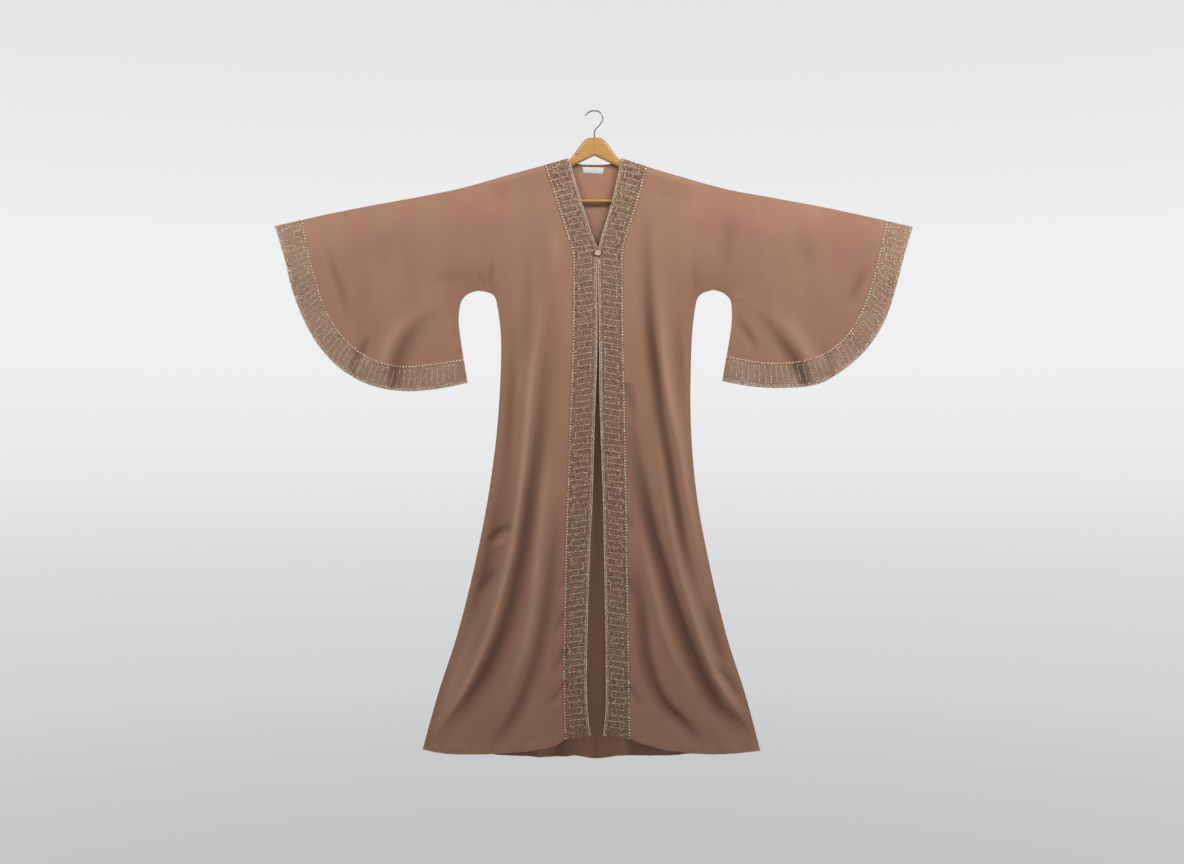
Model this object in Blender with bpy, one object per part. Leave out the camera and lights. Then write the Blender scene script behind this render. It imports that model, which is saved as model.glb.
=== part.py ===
"""Abaya cloak on a wooden hanger, hung up with its wide sleeves spread.

Metres. +Z is up, the front faces -Y, and the origin is the inner crown of the
hanger's hook. "right" and "left" are the wearer's, so the right side is at -X.

Each piece of cloth is a wall over its own outline in the XZ plane. How far it
stands from the middle plane comes from one rule: the hollow between front and
back opens away from the sewn edges, and each row of the fold tables adds a
trough or a ridge. What is sewn on a panel is made from that panel's points.
"""
import bpy
import bmesh
import math
from collections import namedtuple
from mathutils import Vector
from mathutils.geometry import delaunay_2d_cdt

# Cloth and gaps
CLOTH = 0.0012
BAND_CLOTH = 0.0012
LABEL_CLOTH = 0.0010
BINDING_CLOTH = 0.0010
GAP = 0.0003

# Widths of what is sewn on
BINDING_WIDTH = 0.0040
LABEL_CORNERS = ((-0.0295, -0.1325), (-0.0269, -0.1470), (0.0199, -0.1505), (0.0233, -0.1345))

# Hollow between front and back: a tent over the hanger, then a slow swell
TENT_SLOPE = 0.76
TENT_DEPTH = 0.0078
TENT_RING = 0.0104
RING_DROP = 0.0109
TENT_FULL_X = 0.215
TENT_END_X = 0.290
SWELL_REACH = 0.100
SLEEVE_DEPTH = 0.0090
SLEEVE_START_X = 0.26
SLEEVE_FULL_X = 0.40
MIN_HOLLOW = 0.0045

# Spacing of the points inside a panel
UPPER_STEP = 0.036
LOWER_STEP_X = 0.030
LOWER_STEP_Z = 0.054
LOWER_TOP_Z = -0.52
EDGE_CLEARANCE = 0.62

Pair = namedtuple("Pair", "right_out right_z left_out left_z")
Section = namedtuple("Section", "in_z out_z right_in right_out left_in left_out")
Depth = namedtuple("Depth", "z hollow")
Fold = namedtuple("Fold", "width depth path")
Arm = namedtuple("Arm", "out top bottom half")
Patch = namedtuple("Patch", "name outline outside thickness material")

# Shoulder and top of the sleeve, from the neck to the cuff
OVERARM = (
    Pair(0.0630, -0.1130, 0.0655, -0.1130),
    Pair(0.1258, -0.1310, 0.1271, -0.1333),
    Pair(0.2031, -0.1519, 0.2032, -0.1560),
    Pair(0.3150, -0.1835, 0.3146, -0.1867),
    Pair(0.4147, -0.2044, 0.4140, -0.2055),
    Pair(0.5291, -0.2253, 0.5276, -0.2261),
    Pair(0.6433, -0.2477, 0.6408, -0.2495),
    Pair(0.7709, -0.2765, 0.7675, -0.2785),
)

# Open edge of the sleeve, from the top round to the underarm
CUFF_EDGE = (
    Pair(0.7709, -0.2765, 0.7675, -0.2785),
    Pair(0.7468, -0.3511, 0.7440, -0.3527),
    Pair(0.7282, -0.4272, 0.7248, -0.4274),
    Pair(0.7004, -0.5004, 0.7000, -0.5004),
    Pair(0.6613, -0.5681, 0.6602, -0.5662),
    Pair(0.6070, -0.6239, 0.6045, -0.6190),
    Pair(0.5382, -0.6604, 0.5379, -0.6575),
    Pair(0.4613, -0.6741, 0.4614, -0.6659),
    Pair(0.3833, -0.6687, 0.3843, -0.6629),
    Pair(0.3062, -0.6540, 0.3082, -0.6500),
)

# Inner edge of the cuff band
CUFF_INNER = (
    Pair(0.7032, -0.2610, 0.7042, -0.2632),
    Pair(0.6889, -0.3346, 0.6863, -0.3359),
    Pair(0.6694, -0.4092, 0.6685, -0.4092),
    Pair(0.6449, -0.4821, 0.6432, -0.4802),
    Pair(0.6022, -0.5460, 0.6036, -0.5441),
    Pair(0.5425, -0.5936, 0.5433, -0.5884),
    Pair(0.4686, -0.6141, 0.4699, -0.6050),
    Pair(0.3917, -0.6094, 0.3946, -0.6040),
    Pair(0.3156, -0.5974, 0.3187, -0.5895),
)

# Sewn edge under the arm, from the cuff band up to the round of the armpit
UNDERARM = (
    Pair(0.3156, -0.5974, 0.3187, -0.5895),
    Pair(0.3235, -0.5450, 0.3262, -0.5450),
    Pair(0.3275, -0.5060, 0.3310, -0.5060),
    Pair(0.3232, -0.4640, 0.3290, -0.4590),
    Pair(0.3080, -0.4420, 0.3120, -0.4385),
    Pair(0.2818, -0.4318, 0.2866, -0.4298),
)

# Sewn side edge, from the armpit to the hem
SIDE = (
    Pair(0.2818, -0.4318, 0.2866, -0.4298),
    Pair(0.2450, -0.4420, 0.2530, -0.4440),
    Pair(0.2324, -0.4810, 0.2412, -0.4849),
    Pair(0.2250, -0.5733, 0.2335, -0.5771),
    Pair(0.2332, -0.7470, 0.2323, -0.7504),
    Pair(0.2548, -0.9196, 0.2463, -0.9233),
    Pair(0.2879, -1.0903, 0.2775, -1.0938),
    Pair(0.3301, -1.2590, 0.3179, -1.2625),
    Pair(0.3767, -1.4024, 0.3640, -1.4069),
    Pair(0.4142, -1.5377, 0.3996, -1.5406),
)

# Bottom edge of a front, from the side to the band
FRONT_HEM = (
    Pair(0.4142, -1.5377, 0.3996, -1.5406),
    Pair(0.3560, -1.5447, 0.3440, -1.5438),
    Pair(0.2630, -1.5455, 0.2633, -1.5451),
    Pair(0.1903, -1.5410, 0.1790, -1.5370),
    Pair(0.1397, -1.5358, 0.1454, -1.5293),
    Pair(0.0980, -1.5265, 0.1116, -1.5190),
    Pair(0.0713, -1.5100, 0.0857, -1.5080),
)

# Bottom edge of the back, from the right side to the left
BACK_HEM = (
    (-0.4142, -1.5377),
    (-0.3084, -1.5490),
    (-0.2148, -1.5578),
    (-0.0828, -1.5612),
    (-0.0450, -1.5575),
    (0.0050, -1.5625),
    (0.0732, -1.5565),
    (0.1284, -1.5586),
    (0.2628, -1.5535),
    (0.3996, -1.5406),
)

# Top edge of the back, from the right side of the neck to the left
BACK_NECK = (
    (-0.0630, -0.1130),
    (-0.0400, -0.1250),
    (0.0000, -0.1270),
    (0.0400, -0.1250),
    (0.0655, -0.1130),
)

# Front band, a row for each section across it, from the shoulder to the hem
BAND = (
    Section(-0.1130, -0.1300, -0.0630, -0.1195, 0.0655, 0.1275),
    Section(-0.2050, -0.2240, -0.0362, -0.0892, 0.0464, 0.1022),
    Section(-0.2970, -0.3130, -0.0072, -0.0612, 0.0198, 0.0742),
    Section(-0.3326, -0.3440, 0.0074, -0.0537, 0.0098, 0.0692),
    Section(-0.3750, -0.3800, 0.0048, -0.0508, 0.0086, 0.0678),
    Section(-0.5660, -0.5660, 0.0060, -0.0530, 0.0122, 0.0696),
    Section(-0.7000, -0.7000, 0.0012, -0.0575, 0.0132, 0.0726),
    Section(-0.9400, -0.9400, -0.0060, -0.0660, 0.0211, 0.0773),
    Section(-1.0630, -1.0630, -0.0120, -0.0696, 0.0235, 0.0787),
    Section(-1.3100, -1.3100, -0.0190, -0.0742, 0.0276, 0.0828),
    Section(-1.4280, -1.4280, -0.0180, -0.0735, 0.0276, 0.0845),
    Section(-1.5020, -1.5100, -0.0101, -0.0713, 0.0218, 0.0857),
)
BAND_CORNER_ROW = 3

# Half of the hollow between front and back, away from the sewn edges
HOLLOW = (
    Depth(-0.10, 0.0080),
    Depth(-0.30, 0.0105),
    Depth(-0.60, 0.0140),
    Depth(-1.00, 0.0190),
    Depth(-1.56, 0.0250),
)

# Folds of the fronts: a positive depth is a ridge that stands out, a negative
# one a trough. A path runs down the fold, and it starts and ends in nothing,
# so a fold that reaches the hem has a path that goes on past it.
FRONT_FOLDS = (
    Fold(0.020, -0.0080, ((-0.107, -0.44), (-0.122, -0.68), (-0.145, -0.96), (-0.20, -1.17), (-0.31, -1.48))),
    Fold(0.024, 0.0085, ((-0.165, -0.66), (-0.188, -0.95), (-0.258, -1.25), (-0.400, -1.66))),
    Fold(0.018, -0.0055, ((-0.172, -0.54), (-0.193, -0.76), (-0.215, -0.97), (-0.318, -1.30))),
    Fold(0.020, -0.0075, ((-0.088, -0.90), (-0.120, -1.11), (-0.150, -1.32), (-0.260, -1.65))),
    Fold(0.022, 0.0065, ((-0.085, -0.55), (-0.098, -0.85), (-0.150, -1.15), (-0.250, -1.50))),
    Fold(0.020, -0.0080, ((0.124, -0.24), (0.138, -0.53), (0.176, -0.79), (0.218, -1.08), (0.275, -1.26))),
    Fold(0.024, 0.0085, ((0.157, -0.38), (0.196, -0.72), (0.233, -0.96), (0.285, -1.15))),
    Fold(0.020, -0.0075, ((0.085, -0.66), (0.111, -0.82), (0.143, -1.06), (0.222, -1.28), (0.365, -1.56))),
    Fold(0.024, 0.0080, ((0.160, -1.02), (0.210, -1.14), (0.270, -1.29), (0.420, -1.64))),
    Fold(0.018, -0.0060, ((0.112, -1.26), (0.135, -1.36), (0.200, -1.58))),
    Fold(0.022, -0.0045, ((-0.370, -0.46), (-0.420, -0.51), (-0.455, -0.56), (-0.490, -0.68))),
    Fold(0.022, -0.0045, ((0.385, -0.48), (0.425, -0.53), (0.470, -0.58), (0.495, -0.67))),
    Fold(0.020, -0.0035, ((-0.650, -0.30), (-0.623, -0.42), (-0.590, -0.52))),
    Fold(0.020, -0.0035, ((0.640, -0.32), (0.620, -0.42), (0.590, -0.52))),
)

# Folds of the back, on the same rule
BACK_FOLDS = (
    Fold(0.024, -0.0075, ((-0.060, -0.26), (-0.075, -0.60), (-0.100, -0.95), (-0.130, -1.40))),
    Fold(0.026, 0.0085, ((-0.125, -0.46), (-0.150, -0.80), (-0.190, -1.15), (-0.300, -1.72))),
    Fold(0.022, -0.0075, ((-0.170, -0.52), (-0.205, -0.85), (-0.265, -1.20), (-0.380, -1.64))),
    Fold(0.026, 0.0080, ((0.010, -0.42), (0.012, -0.80), (-0.020, -1.15), (-0.040, -1.74))),
    Fold(0.022, -0.0075, ((0.060, -0.62), (0.070, -0.90), (0.060, -1.20), (0.080, -1.70))),
    Fold(0.026, 0.0085, ((0.120, -0.40), (0.140, -0.75), (0.170, -1.10), (0.255, -1.74))),
    Fold(0.022, -0.0080, ((0.160, -0.46), (0.195, -0.80), (0.255, -1.15), (0.370, -1.62))),
    Fold(0.022, -0.0045, ((-0.345, -0.44), (-0.410, -0.50), (-0.450, -0.66))),
    Fold(0.022, -0.0045, ((0.350, -0.44), (0.430, -0.52), (0.480, -0.66))),
)
FOLD_FADE = 0.22
FOLD_EDGE = 0.055

# Button and loop
BUTTON_AT = (0.0082, -0.3422)
BUTTON_PROFILE = (
    (0.0062, 0.0000),
    (0.0074, 0.0009),
    (0.0075, 0.0021),
    (0.0066, 0.0033),
    (0.0042, 0.0042),
    (0.0015, 0.0045),
)
BUTTON_SIDES = 20
BUTTON_CLEARANCE = 0.0006
LOOP_RADIUS = 0.0094
LOOP_CORD = 0.0016
LOOP_OPENING = 34.0
LOOP_TAIL = 0.0045

# Hanger
HOOK_WIRE = 0.0036
HOOK_PATH = (
    (0.0000, -0.0780),
    (0.0000, -0.0500),
    (0.0020, -0.0428),
    (0.0075, -0.0375),
    (0.0137, -0.0300),
    (0.0185, -0.0215),
    (0.0195, -0.0120),
    (0.0145, -0.0032),
    (0.0065, 0.0012),
    (-0.0015, 0.0018),
    (-0.0095, 0.0004),
    (-0.0170, -0.0040),
    (-0.0235, -0.0100),
)
BAR_Z = -0.2156
BAR_RADIUS = 0.0040
BAR_END_X = 0.1960
ARMS = (
    Arm(0.0000, -0.0622, -0.1066, 0.0060),
    Arm(0.0110, -0.0632, -0.1118, 0.0060),
    Arm(0.0200, -0.0665, -0.1161, 0.0060),
    Arm(0.0270, -0.0722, -0.1194, 0.0060),
    Arm(0.0335, -0.0802, -0.1225, 0.0060),
    Arm(0.0405, -0.0895, -0.1259, 0.0060),
    Arm(0.0480, -0.1002, -0.1294, 0.0060),
    Arm(0.0560, -0.1115, -0.1332, 0.0060),
    Arm(0.0640, -0.1182, -0.1370, 0.0060),
    Arm(0.0750, -0.1190, -0.1425, 0.0060),
    Arm(0.0950, -0.1210, -0.1520, 0.0060),
    Arm(0.1150, -0.1260, -0.1625, 0.0060),
    Arm(0.1350, -0.1350, -0.1740, 0.0060),
    Arm(0.1550, -0.1450, -0.1870, 0.0060),
    Arm(0.1750, -0.1560, -0.2050, 0.0060),
    Arm(0.1900, -0.1650, -0.2250, 0.0060),
    Arm(0.2020, -0.1760, -0.2290, 0.0055),
    Arm(0.2100, -0.1880, -0.2260, 0.0045),
    Arm(0.2150, -0.2000, -0.2160, 0.0030),
)
ARM_CHAMFER = 0.0064
ARM_TOP_HALF = 0.0015
SEAT_DROP = 0.0028
HOLE_CLEARANCE = 0.0003
HOLE_SIDES = 16

SIDES = {"right": -1.0, "left": 1.0}


def clear_scene():
    """Empty the file, so that the script can run again."""
    for thing in list(bpy.data.objects):
        bpy.data.objects.remove(thing, do_unlink=True)


def make_material(name, color, roughness, metallic=0.0, sheen=0.0):
    """A Principled material."""
    material = bpy.data.materials.new(name)
    material.use_nodes = True
    shader = material.node_tree.nodes["Principled BSDF"]
    shader.inputs["Base Color"].default_value = (*color, 1.0)
    shader.inputs["Roughness"].default_value = roughness
    shader.inputs["Metallic"].default_value = metallic
    shader.inputs["Sheen Weight"].default_value = sheen
    return material


def link(name, mesh, material):
    """A named object of a mesh, with its material."""
    body = bpy.data.objects.new(name, mesh)
    mesh.materials.append(material)
    bpy.context.collection.objects.link(body)
    return body


def lerp(a, b, share):
    """The value a share of the way from a to b."""
    return a + (b - a) * share


def smooth_step(low, high, value):
    """0 below low, 1 above high, and a smooth rise between."""
    share = min(max((value - low) / (high - low), 0.0), 1.0)
    return share * share * (3.0 - 2.0 * share)


def column(table, side):
    """One side's (x, z) points of a table of pairs."""
    if side == "right":
        return [(-row.right_out, row.right_z) for row in table]
    return [(row.left_out, row.left_z) for row in table]


def through(points, steps=8):
    """A dense smooth curve through the points."""
    ends = [points[0], *points, points[-1]]
    dense = []
    for before, start, end, after in zip(ends, ends[1:], ends[2:], ends[3:]):
        for step in range(steps):
            t = step / steps
            dense.append(tuple(
                0.5 * (2 * b + (c - a) * t + (2 * a - 5 * b + 4 * c - d) * t * t
                       + (3 * b - a - 3 * c + d) * t ** 3)
                for a, b, c, d in zip(before, start, end, after)))
    dense.append(tuple(points[-1]))
    return dense


def lengths(curve):
    """The running length at each point of a curve."""
    total = [0.0]
    for a, b in zip(curve, curve[1:]):
        total.append(total[-1] + math.dist(a, b))
    return total


def at_share(curve, share):
    """The point a share of the way along a curve."""
    total = lengths(curve)
    want = share * total[-1]
    for i in range(len(curve) - 1):
        if want <= total[i + 1]:
            span = (want - total[i]) / (total[i + 1] - total[i])
            return tuple(lerp(a, b, span) for a, b in zip(curve[i], curve[i + 1]))
    return tuple(curve[-1])


def share_of_x(curve, x):
    """How far along a curve it first reaches |x|."""
    total = lengths(curve)
    for i in range(len(curve) - 1):
        low, high = abs(curve[i][0]), abs(curve[i + 1][0])
        if low <= abs(x) <= high:
            return (total[i] + (total[i + 1] - total[i]) * (abs(x) - low) / (high - low)) / total[-1]
    return 1.0


def evenly(curve, count, start=0.0, end=1.0):
    """Points at even steps along a stretch of a curve, both ends included."""
    return [at_share(curve, lerp(start, end, i / count)) for i in range(count + 1)]


def chain(*stretches):
    """Stretches that meet end to end, as one list without the doubled points."""
    line = list(stretches[0])
    for stretch in stretches[1:]:
        line.extend(stretch[1:])
    return line


def near_line(point, line):
    """The distance from a point to a polyline, and the share of it there."""
    best, where, run = 1e9, 0.0, 0.0
    px, pz = point
    for (ax, az), (bx, bz) in zip(line, line[1:]):
        dx, dz = bx - ax, bz - az
        span = dx * dx + dz * dz
        t = min(max(((px - ax) * dx + (pz - az) * dz) / span, 0.0), 1.0)
        away = math.hypot(px - ax - t * dx, pz - az - t * dz)
        if away < best:
            best, where = away, run + t * math.sqrt(span)
        run += math.sqrt(span)
    return best, where / run


def inside(point, outline):
    """Whether a point lies in a closed outline."""
    x, z = point
    within = False
    for (ax, az), (bx, bz) in zip(outline, [*outline[1:], outline[0]]):
        if (az > z) != (bz > z) and x < (bx - ax) * (z - az) / (bz - az) + ax:
            within = not within
    return within


class Edges:
    """The garment's edges on one side, sampled once so that the pieces share them."""

    def __init__(self, side):
        self.side = side
        self.overarm_curve = through(column(OVERARM, side))
        cuff = through(column(CUFF_EDGE, side))
        cuff_inner = through(column(CUFF_INNER, side))
        band_out_x = BAND[0].right_out if side == "right" else BAND[0].left_out
        self.overarm = self.sample_overarm(band_out_x, cuff_inner[0][0])
        self.cuff = evenly(cuff, 18)
        self.cuff_inner = [self.overarm[-3], *evenly(cuff_inner, 16)[1:]]
        self.cuff_end = evenly([self.cuff[-1], self.cuff_inner[-1]], 2)
        self.under = evenly(through(column(UNDERARM, side)), 9)
        self.side_seam = self.sample_side(through(column(SIDE, side)))
        self.band_in, self.band_out = self.sample_band()
        self.hem = [*evenly(through(column(FRONT_HEM, side)), 11)[:-1], self.band_out[-1]]

    def sample_overarm(self, band_x, cuff_x):
        """Points along the shoulder and sleeve top, closer over the hanger."""
        curve = self.overarm_curve
        marks = [0.0, *(share_of_x(curve, x) for x in (band_x, TENT_END_X, cuff_x)), 1.0]
        counts = (2, 6, 10, 2)
        return chain(*(evenly(curve, n, a, b) for n, a, b in zip(counts, marks, marks[1:])))

    def sample_side(self, curve):
        """Points down the side seam, closer round the armpit."""
        turn = 0.075
        return chain(evenly(curve, 6, 0.0, turn), evenly(curve, 20, turn, 1.0))

    def sample_band(self):
        """The band's inner and outer edges, point for point."""
        inner, outer = band_points(self.side)
        inner[0], outer[0] = self.overarm[0], self.overarm[2]
        rows = []
        for edge in (inner, outer):
            upper = through(edge[:BAND_CORNER_ROW + 1])
            lower = through(edge[BAND_CORNER_ROW:])
            ring = TENT_RING / lengths(upper)[-1]
            rows.append([upper[0], *evenly(upper, 7, ring, 1.0), *evenly(lower, 24)[1:]])
        return rows


def band_points(side):
    """The inner and outer points of the band's sections on one side."""
    if side == "right":
        return ([(row.right_in, row.in_z) for row in BAND],
                [(row.right_out, row.out_z) for row in BAND])
    return ([(row.left_in, row.in_z) for row in BAND],
            [(row.left_out, row.out_z) for row in BAND])


EDGES = {side: Edges(side) for side in SIDES}
SEWN = {side: (EDGES[side].overarm_curve,
               chain(EDGES[side].cuff_end, EDGES[side].under, EDGES[side].side_seam))
        for side in SIDES}


def hollow_at(z):
    """Half of the hollow at a height, from its table."""
    for above, below in zip(HOLLOW, HOLLOW[1:]):
        if z >= below.z:
            share = (above.z - z) / (above.z - below.z)
            return lerp(above.hollow, below.hollow, min(max(share, 0.0), 1.0))
    return HOLLOW[-1].hollow


def folds_at(point, folds):
    """What the folds add at a point."""
    total = 0.0
    for fold in folds:
        away, share = near_line(point, fold.path)
        if away < 3.0 * fold.width:
            fade = smooth_step(0.0, FOLD_FADE, share) * smooth_step(0.0, FOLD_FADE, 1.0 - share)
            total += fold.depth * fade * math.exp(-(away / fold.width) ** 2)
    return total


def stand_off(point, folds):
    """How far a layer's inner face stands from the middle plane."""
    x, z = point
    side = "right" if x < 0 else "left"
    overarm, under = SEWN[side]
    to_top, to_under = near_line(point, overarm)[0], near_line(point, under)[0]
    to_seam = min(to_top, to_under)
    sleeve = smooth_step(SLEEVE_START_X, SLEEVE_FULL_X, abs(x)) if z > SIDE[4].right_z else 0.0
    full = lerp(hollow_at(z), SLEEVE_DEPTH, sleeve)
    share = min(to_seam / SWELL_REACH, 1.0)
    swell = full * (1.0 - (1.0 - share) ** 2)
    tent = min(TENT_SLOPE * to_top, TENT_DEPTH) * (1.0 - smooth_step(TENT_FULL_X, TENT_END_X, abs(x)))
    tent *= smooth_step(0.0, FOLD_EDGE, to_under)
    base = max(swell, tent)
    depth = base + folds_at(point, folds) * smooth_step(0.0, FOLD_EDGE, to_seam)
    return GAP / 2 + max(depth, min(base, MIN_HOLLOW))


def faces_of(point, folds):
    """A layer's inner face and how much its slope lengthens a step along Y."""
    step = 0.004
    x, z = point
    here = stand_off(point, folds)
    slope_x = (stand_off((x + step, z), folds) - stand_off((x - step, z), folds)) / (2 * step)
    slope_z = (stand_off((x, z + step), folds) - stand_off((x, z - step), folds)) / (2 * step)
    return here, math.sqrt(1.0 + slope_x ** 2 + slope_z ** 2)


def filling(outline, guides):
    """Points inside an outline, in staggered rows, clear of its edge and the guides."""
    low_x, high_x = min(p[0] for p in outline), max(p[0] for p in outline)
    low_z, high_z = min(p[1] for p in outline), max(p[1] for p in outline)
    lines = [[*outline, outline[0]], *guides]
    points = []
    z, row = high_z, 0
    while z > low_z:
        lower = z < LOWER_TOP_Z
        step_x = LOWER_STEP_X if lower else UPPER_STEP
        first = math.floor(low_x / step_x)
        last = math.ceil(high_x / step_x)
        for i in range(first, last + 1):
            point = ((i + 0.5 * (row % 2)) * step_x, z)
            if inside(point, outline) and all(
                    near_line(point, line)[0] > EDGE_CLEARANCE * step_x for line in lines):
                points.append(point)
        z -= LOWER_STEP_Z if lower else UPPER_STEP
        row += 1
    return points


def triangulate(outline, guides, extra):
    """Triangles of a panel that keep its outline and the guides as edges."""
    points, index = [], {}

    def number(point):
        key = (round(point[0], 6), round(point[1], 6))
        if key not in index:
            index[key] = len(points)
            points.append(point)
        return index[key]

    loop = [number(p) for p in outline]
    edges = []
    for guide in guides:
        line = [number(p) for p in guide]
        edges.extend(zip(line, line[1:]))
    for point in extra:
        number(point)
    flat = [Vector(p) for p in points]
    verts, _, faces, _, _, _ = delaunay_2d_cdt(flat, edges, [loop], 1, 1e-6)
    return [(v.x, v.y) for v in verts], [tuple(f) for f in faces]


def wall(name, points, triangles, near, far, material):
    """A closed wall between two sheets that share their points' x and z."""
    used = sorted({i for triangle in triangles for i in triangle})
    place = {old: new for new, old in enumerate(used)}
    count = len(used)
    verts = [(points[i][0], near[i], points[i][1]) for i in used]
    verts += [(points[i][0], far[i], points[i][1]) for i in used]
    faces, rim = [], set()
    for a, b, c in triangles:
        a, b, c = place[a], place[b], place[c]
        faces.append((a, b, c))
        faces.append((c + count, b + count, a + count))
        for edge in ((a, b), (b, c), (c, a)):
            if edge[::-1] in rim:
                rim.remove(edge[::-1])
            else:
                rim.add(edge)
    for a, b in sorted(rim):
        faces.append((b, a, a + count, b + count))
    mesh = bpy.data.meshes.new(name)
    mesh.from_pydata(verts, [], faces)
    mesh.validate()
    mesh.shade_smooth()
    mesh.set_sharp_from_angle(angle=math.radians(50))
    return link(name, mesh, material)


def panel(name, facing, outline, guides, folds, rows, patches, material):
    """A panel with what is sewn on it. Facing is -1 for a front, 1 for the back.

    The guides are lines that the triangles keep, and the rows only give points.
    """
    extra = [*(p for row in rows for p in row), *filling(outline, [*guides, *rows])]
    points, triangles = triangulate(outline, guides, extra)
    measured = [faces_of(p, folds) for p in points]
    inner = [facing * here for here, _ in measured]
    outer = [facing * (here + CLOTH * stretch) for here, stretch in measured]
    wall(name, points, triangles, *sorted_faces(inner, outer, facing), material)
    for patch in patches:
        chosen = [t for t in triangles if inside(centre(points, t), patch.outline)]
        away = facing if patch.outside else -facing
        start = outer if patch.outside else inner
        base = [y + away * GAP * s for y, (_, s) in zip(start, measured)]
        top = [y + away * (GAP + patch.thickness) * s for y, (_, s) in zip(start, measured)]
        wall(patch.name, points, chosen, *sorted_faces(base, top, away), patch.material)


def sorted_faces(base, top, away):
    """The two faces of a wall, the one nearer the front first."""
    return (top, base) if away < 0 else (base, top)


def centre(points, triangle):
    """The middle of a triangle."""
    return tuple(sum(points[i][k] for i in triangle) / 3 for k in (0, 1))


def tent_ring(side, start_x):
    """Points a ring's width below a shoulder, where the tent reaches its depth."""
    return [(x, z - RING_DROP) for x, z in EDGES[side].overarm if start_x < abs(x) < TENT_END_X]


def middle(first, second):
    """The points half way between two lines."""
    return [tuple(lerp(a, b, 0.5) for a, b in zip(p, q)) for p, q in zip(first, second)]


def build_front(side, cloth, trim):
    """One front with its grown-on sleeve, its front band and its cuff band."""
    edges = EDGES[side]
    under = chain(edges.cuff_end, edges.under, edges.side_seam)
    bottom = middle([edges.band_in[-1]], [edges.band_out[-1]])
    outline = chain(edges.overarm, edges.cuff, under, edges.hem,
                    [edges.hem[-1], *bottom, edges.band_in[-1]], edges.band_in[::-1])[:-1]
    if side == "left":
        outline = outline[::-1]
    band_rows = middle(edges.band_in, edges.band_out)[1:-1]
    cuff_rows = middle(evenly(edges.cuff, 16), edges.cuff_inner)[1:-1]
    ring = tent_ring(side, abs(edges.band_out[0][0]) + TENT_RING / 2)
    band = [*edges.band_in, *bottom, *edges.band_out[::-1], edges.overarm[1]]
    cuff = [*edges.cuff, *edges.cuff_end[1:], *edges.cuff_inner[-2::-1], edges.overarm[-2]]
    patches = [Patch(f"front_band_{side}", band, True, BAND_CLOTH, trim),
               Patch(f"cuff_band_{side}_front", cuff, True, BAND_CLOTH, trim)]
    guides = [edges.band_out, edges.cuff_inner]
    rows = [ring, band_rows, cuff_rows]
    panel(f"front_{side}", -1, outline, guides, FRONT_FOLDS, rows, patches, cloth)


def build_back(cloth, trim, binding, label):
    """The back in one piece, with its cuff bands, neck binding and blank label."""
    right, left = EDGES["right"], EDGES["left"]
    neck_curve = through(BACK_NECK)
    ring = TENT_RING / lengths(neck_curve)[-1]
    neck = [neck_curve[0], *evenly(neck_curve, 6, ring, 1.0 - ring), neck_curve[-1]]
    under = {side: chain(e.cuff, e.cuff_end, e.under, e.side_seam) for side, e in EDGES.items()}
    hem = [right.side_seam[-1], *evenly(through(BACK_HEM), 27)[1:-1], left.side_seam[-1]]
    outline = chain(right.overarm, under["right"], hem, under["left"][::-1],
                    left.overarm[::-1], neck[::-1])[:-1]
    binding_low = [(x, z - BINDING_WIDTH) for x, z in neck[1:-1]]
    label_edge = [*LABEL_CORNERS, LABEL_CORNERS[0]]
    guides = [right.cuff_inner, left.cuff_inner, binding_low, label_edge,
              [neck[1], binding_low[0]], [neck[-2], binding_low[-1]]]
    rows = [tent_ring(side, 0.0) for side in SIDES]
    binding_edge = [*neck[1:-1], *binding_low[::-1]]
    patches = [Patch("back_neck_binding", binding_edge, False, BINDING_CLOTH, binding),
               Patch("neck_label", LABEL_CORNERS, False, LABEL_CLOTH, label)]
    for side, edges in EDGES.items():
        cuff = [*edges.cuff, *edges.cuff_end[1:], *edges.cuff_inner[-2::-1], edges.overarm[-2]]
        rows.append(middle(evenly(edges.cuff, 16), edges.cuff_inner)[1:-1])
        patches.append(Patch(f"cuff_band_{side}_back", cuff, True, BAND_CLOTH, trim))
    panel("back", 1, outline, guides, BACK_FOLDS, rows, patches, cloth)


def band_face_y(point):
    """The Y of the front bands' outer face at a point."""
    here, stretch = faces_of(point, FRONT_FOLDS)
    return -(here + (CLOTH + GAP + BAND_CLOTH) * stretch)


def build_button(material):
    """A round domed button, turned about an axis along Y."""
    base = band_face_y(BUTTON_AT) - BUTTON_CLEARANCE
    mesh = bpy.data.meshes.new("button")
    shape = bmesh.new()
    rings = []
    for radius, height in BUTTON_PROFILE:
        ring = []
        for i in range(BUTTON_SIDES):
            turn = 2 * math.pi * i / BUTTON_SIDES
            place = (BUTTON_AT[0] + radius * math.cos(turn), base - height,
                     BUTTON_AT[1] + radius * math.sin(turn))
            ring.append(shape.verts.new(place))
        rings.append(ring)
    for low, high in zip(rings, rings[1:]):
        for i in range(BUTTON_SIDES):
            j = (i + 1) % BUTTON_SIDES
            shape.faces.new((low[i], low[j], high[j], high[i]))
    shape.faces.new(rings[0][::-1])
    shape.faces.new(rings[-1])
    bmesh.ops.recalc_face_normals(shape, faces=shape.faces)
    shape.to_mesh(mesh)
    shape.free()
    mesh.shade_smooth()
    mesh.set_sharp_from_angle(angle=math.radians(40))
    link("button", mesh, material)


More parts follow.
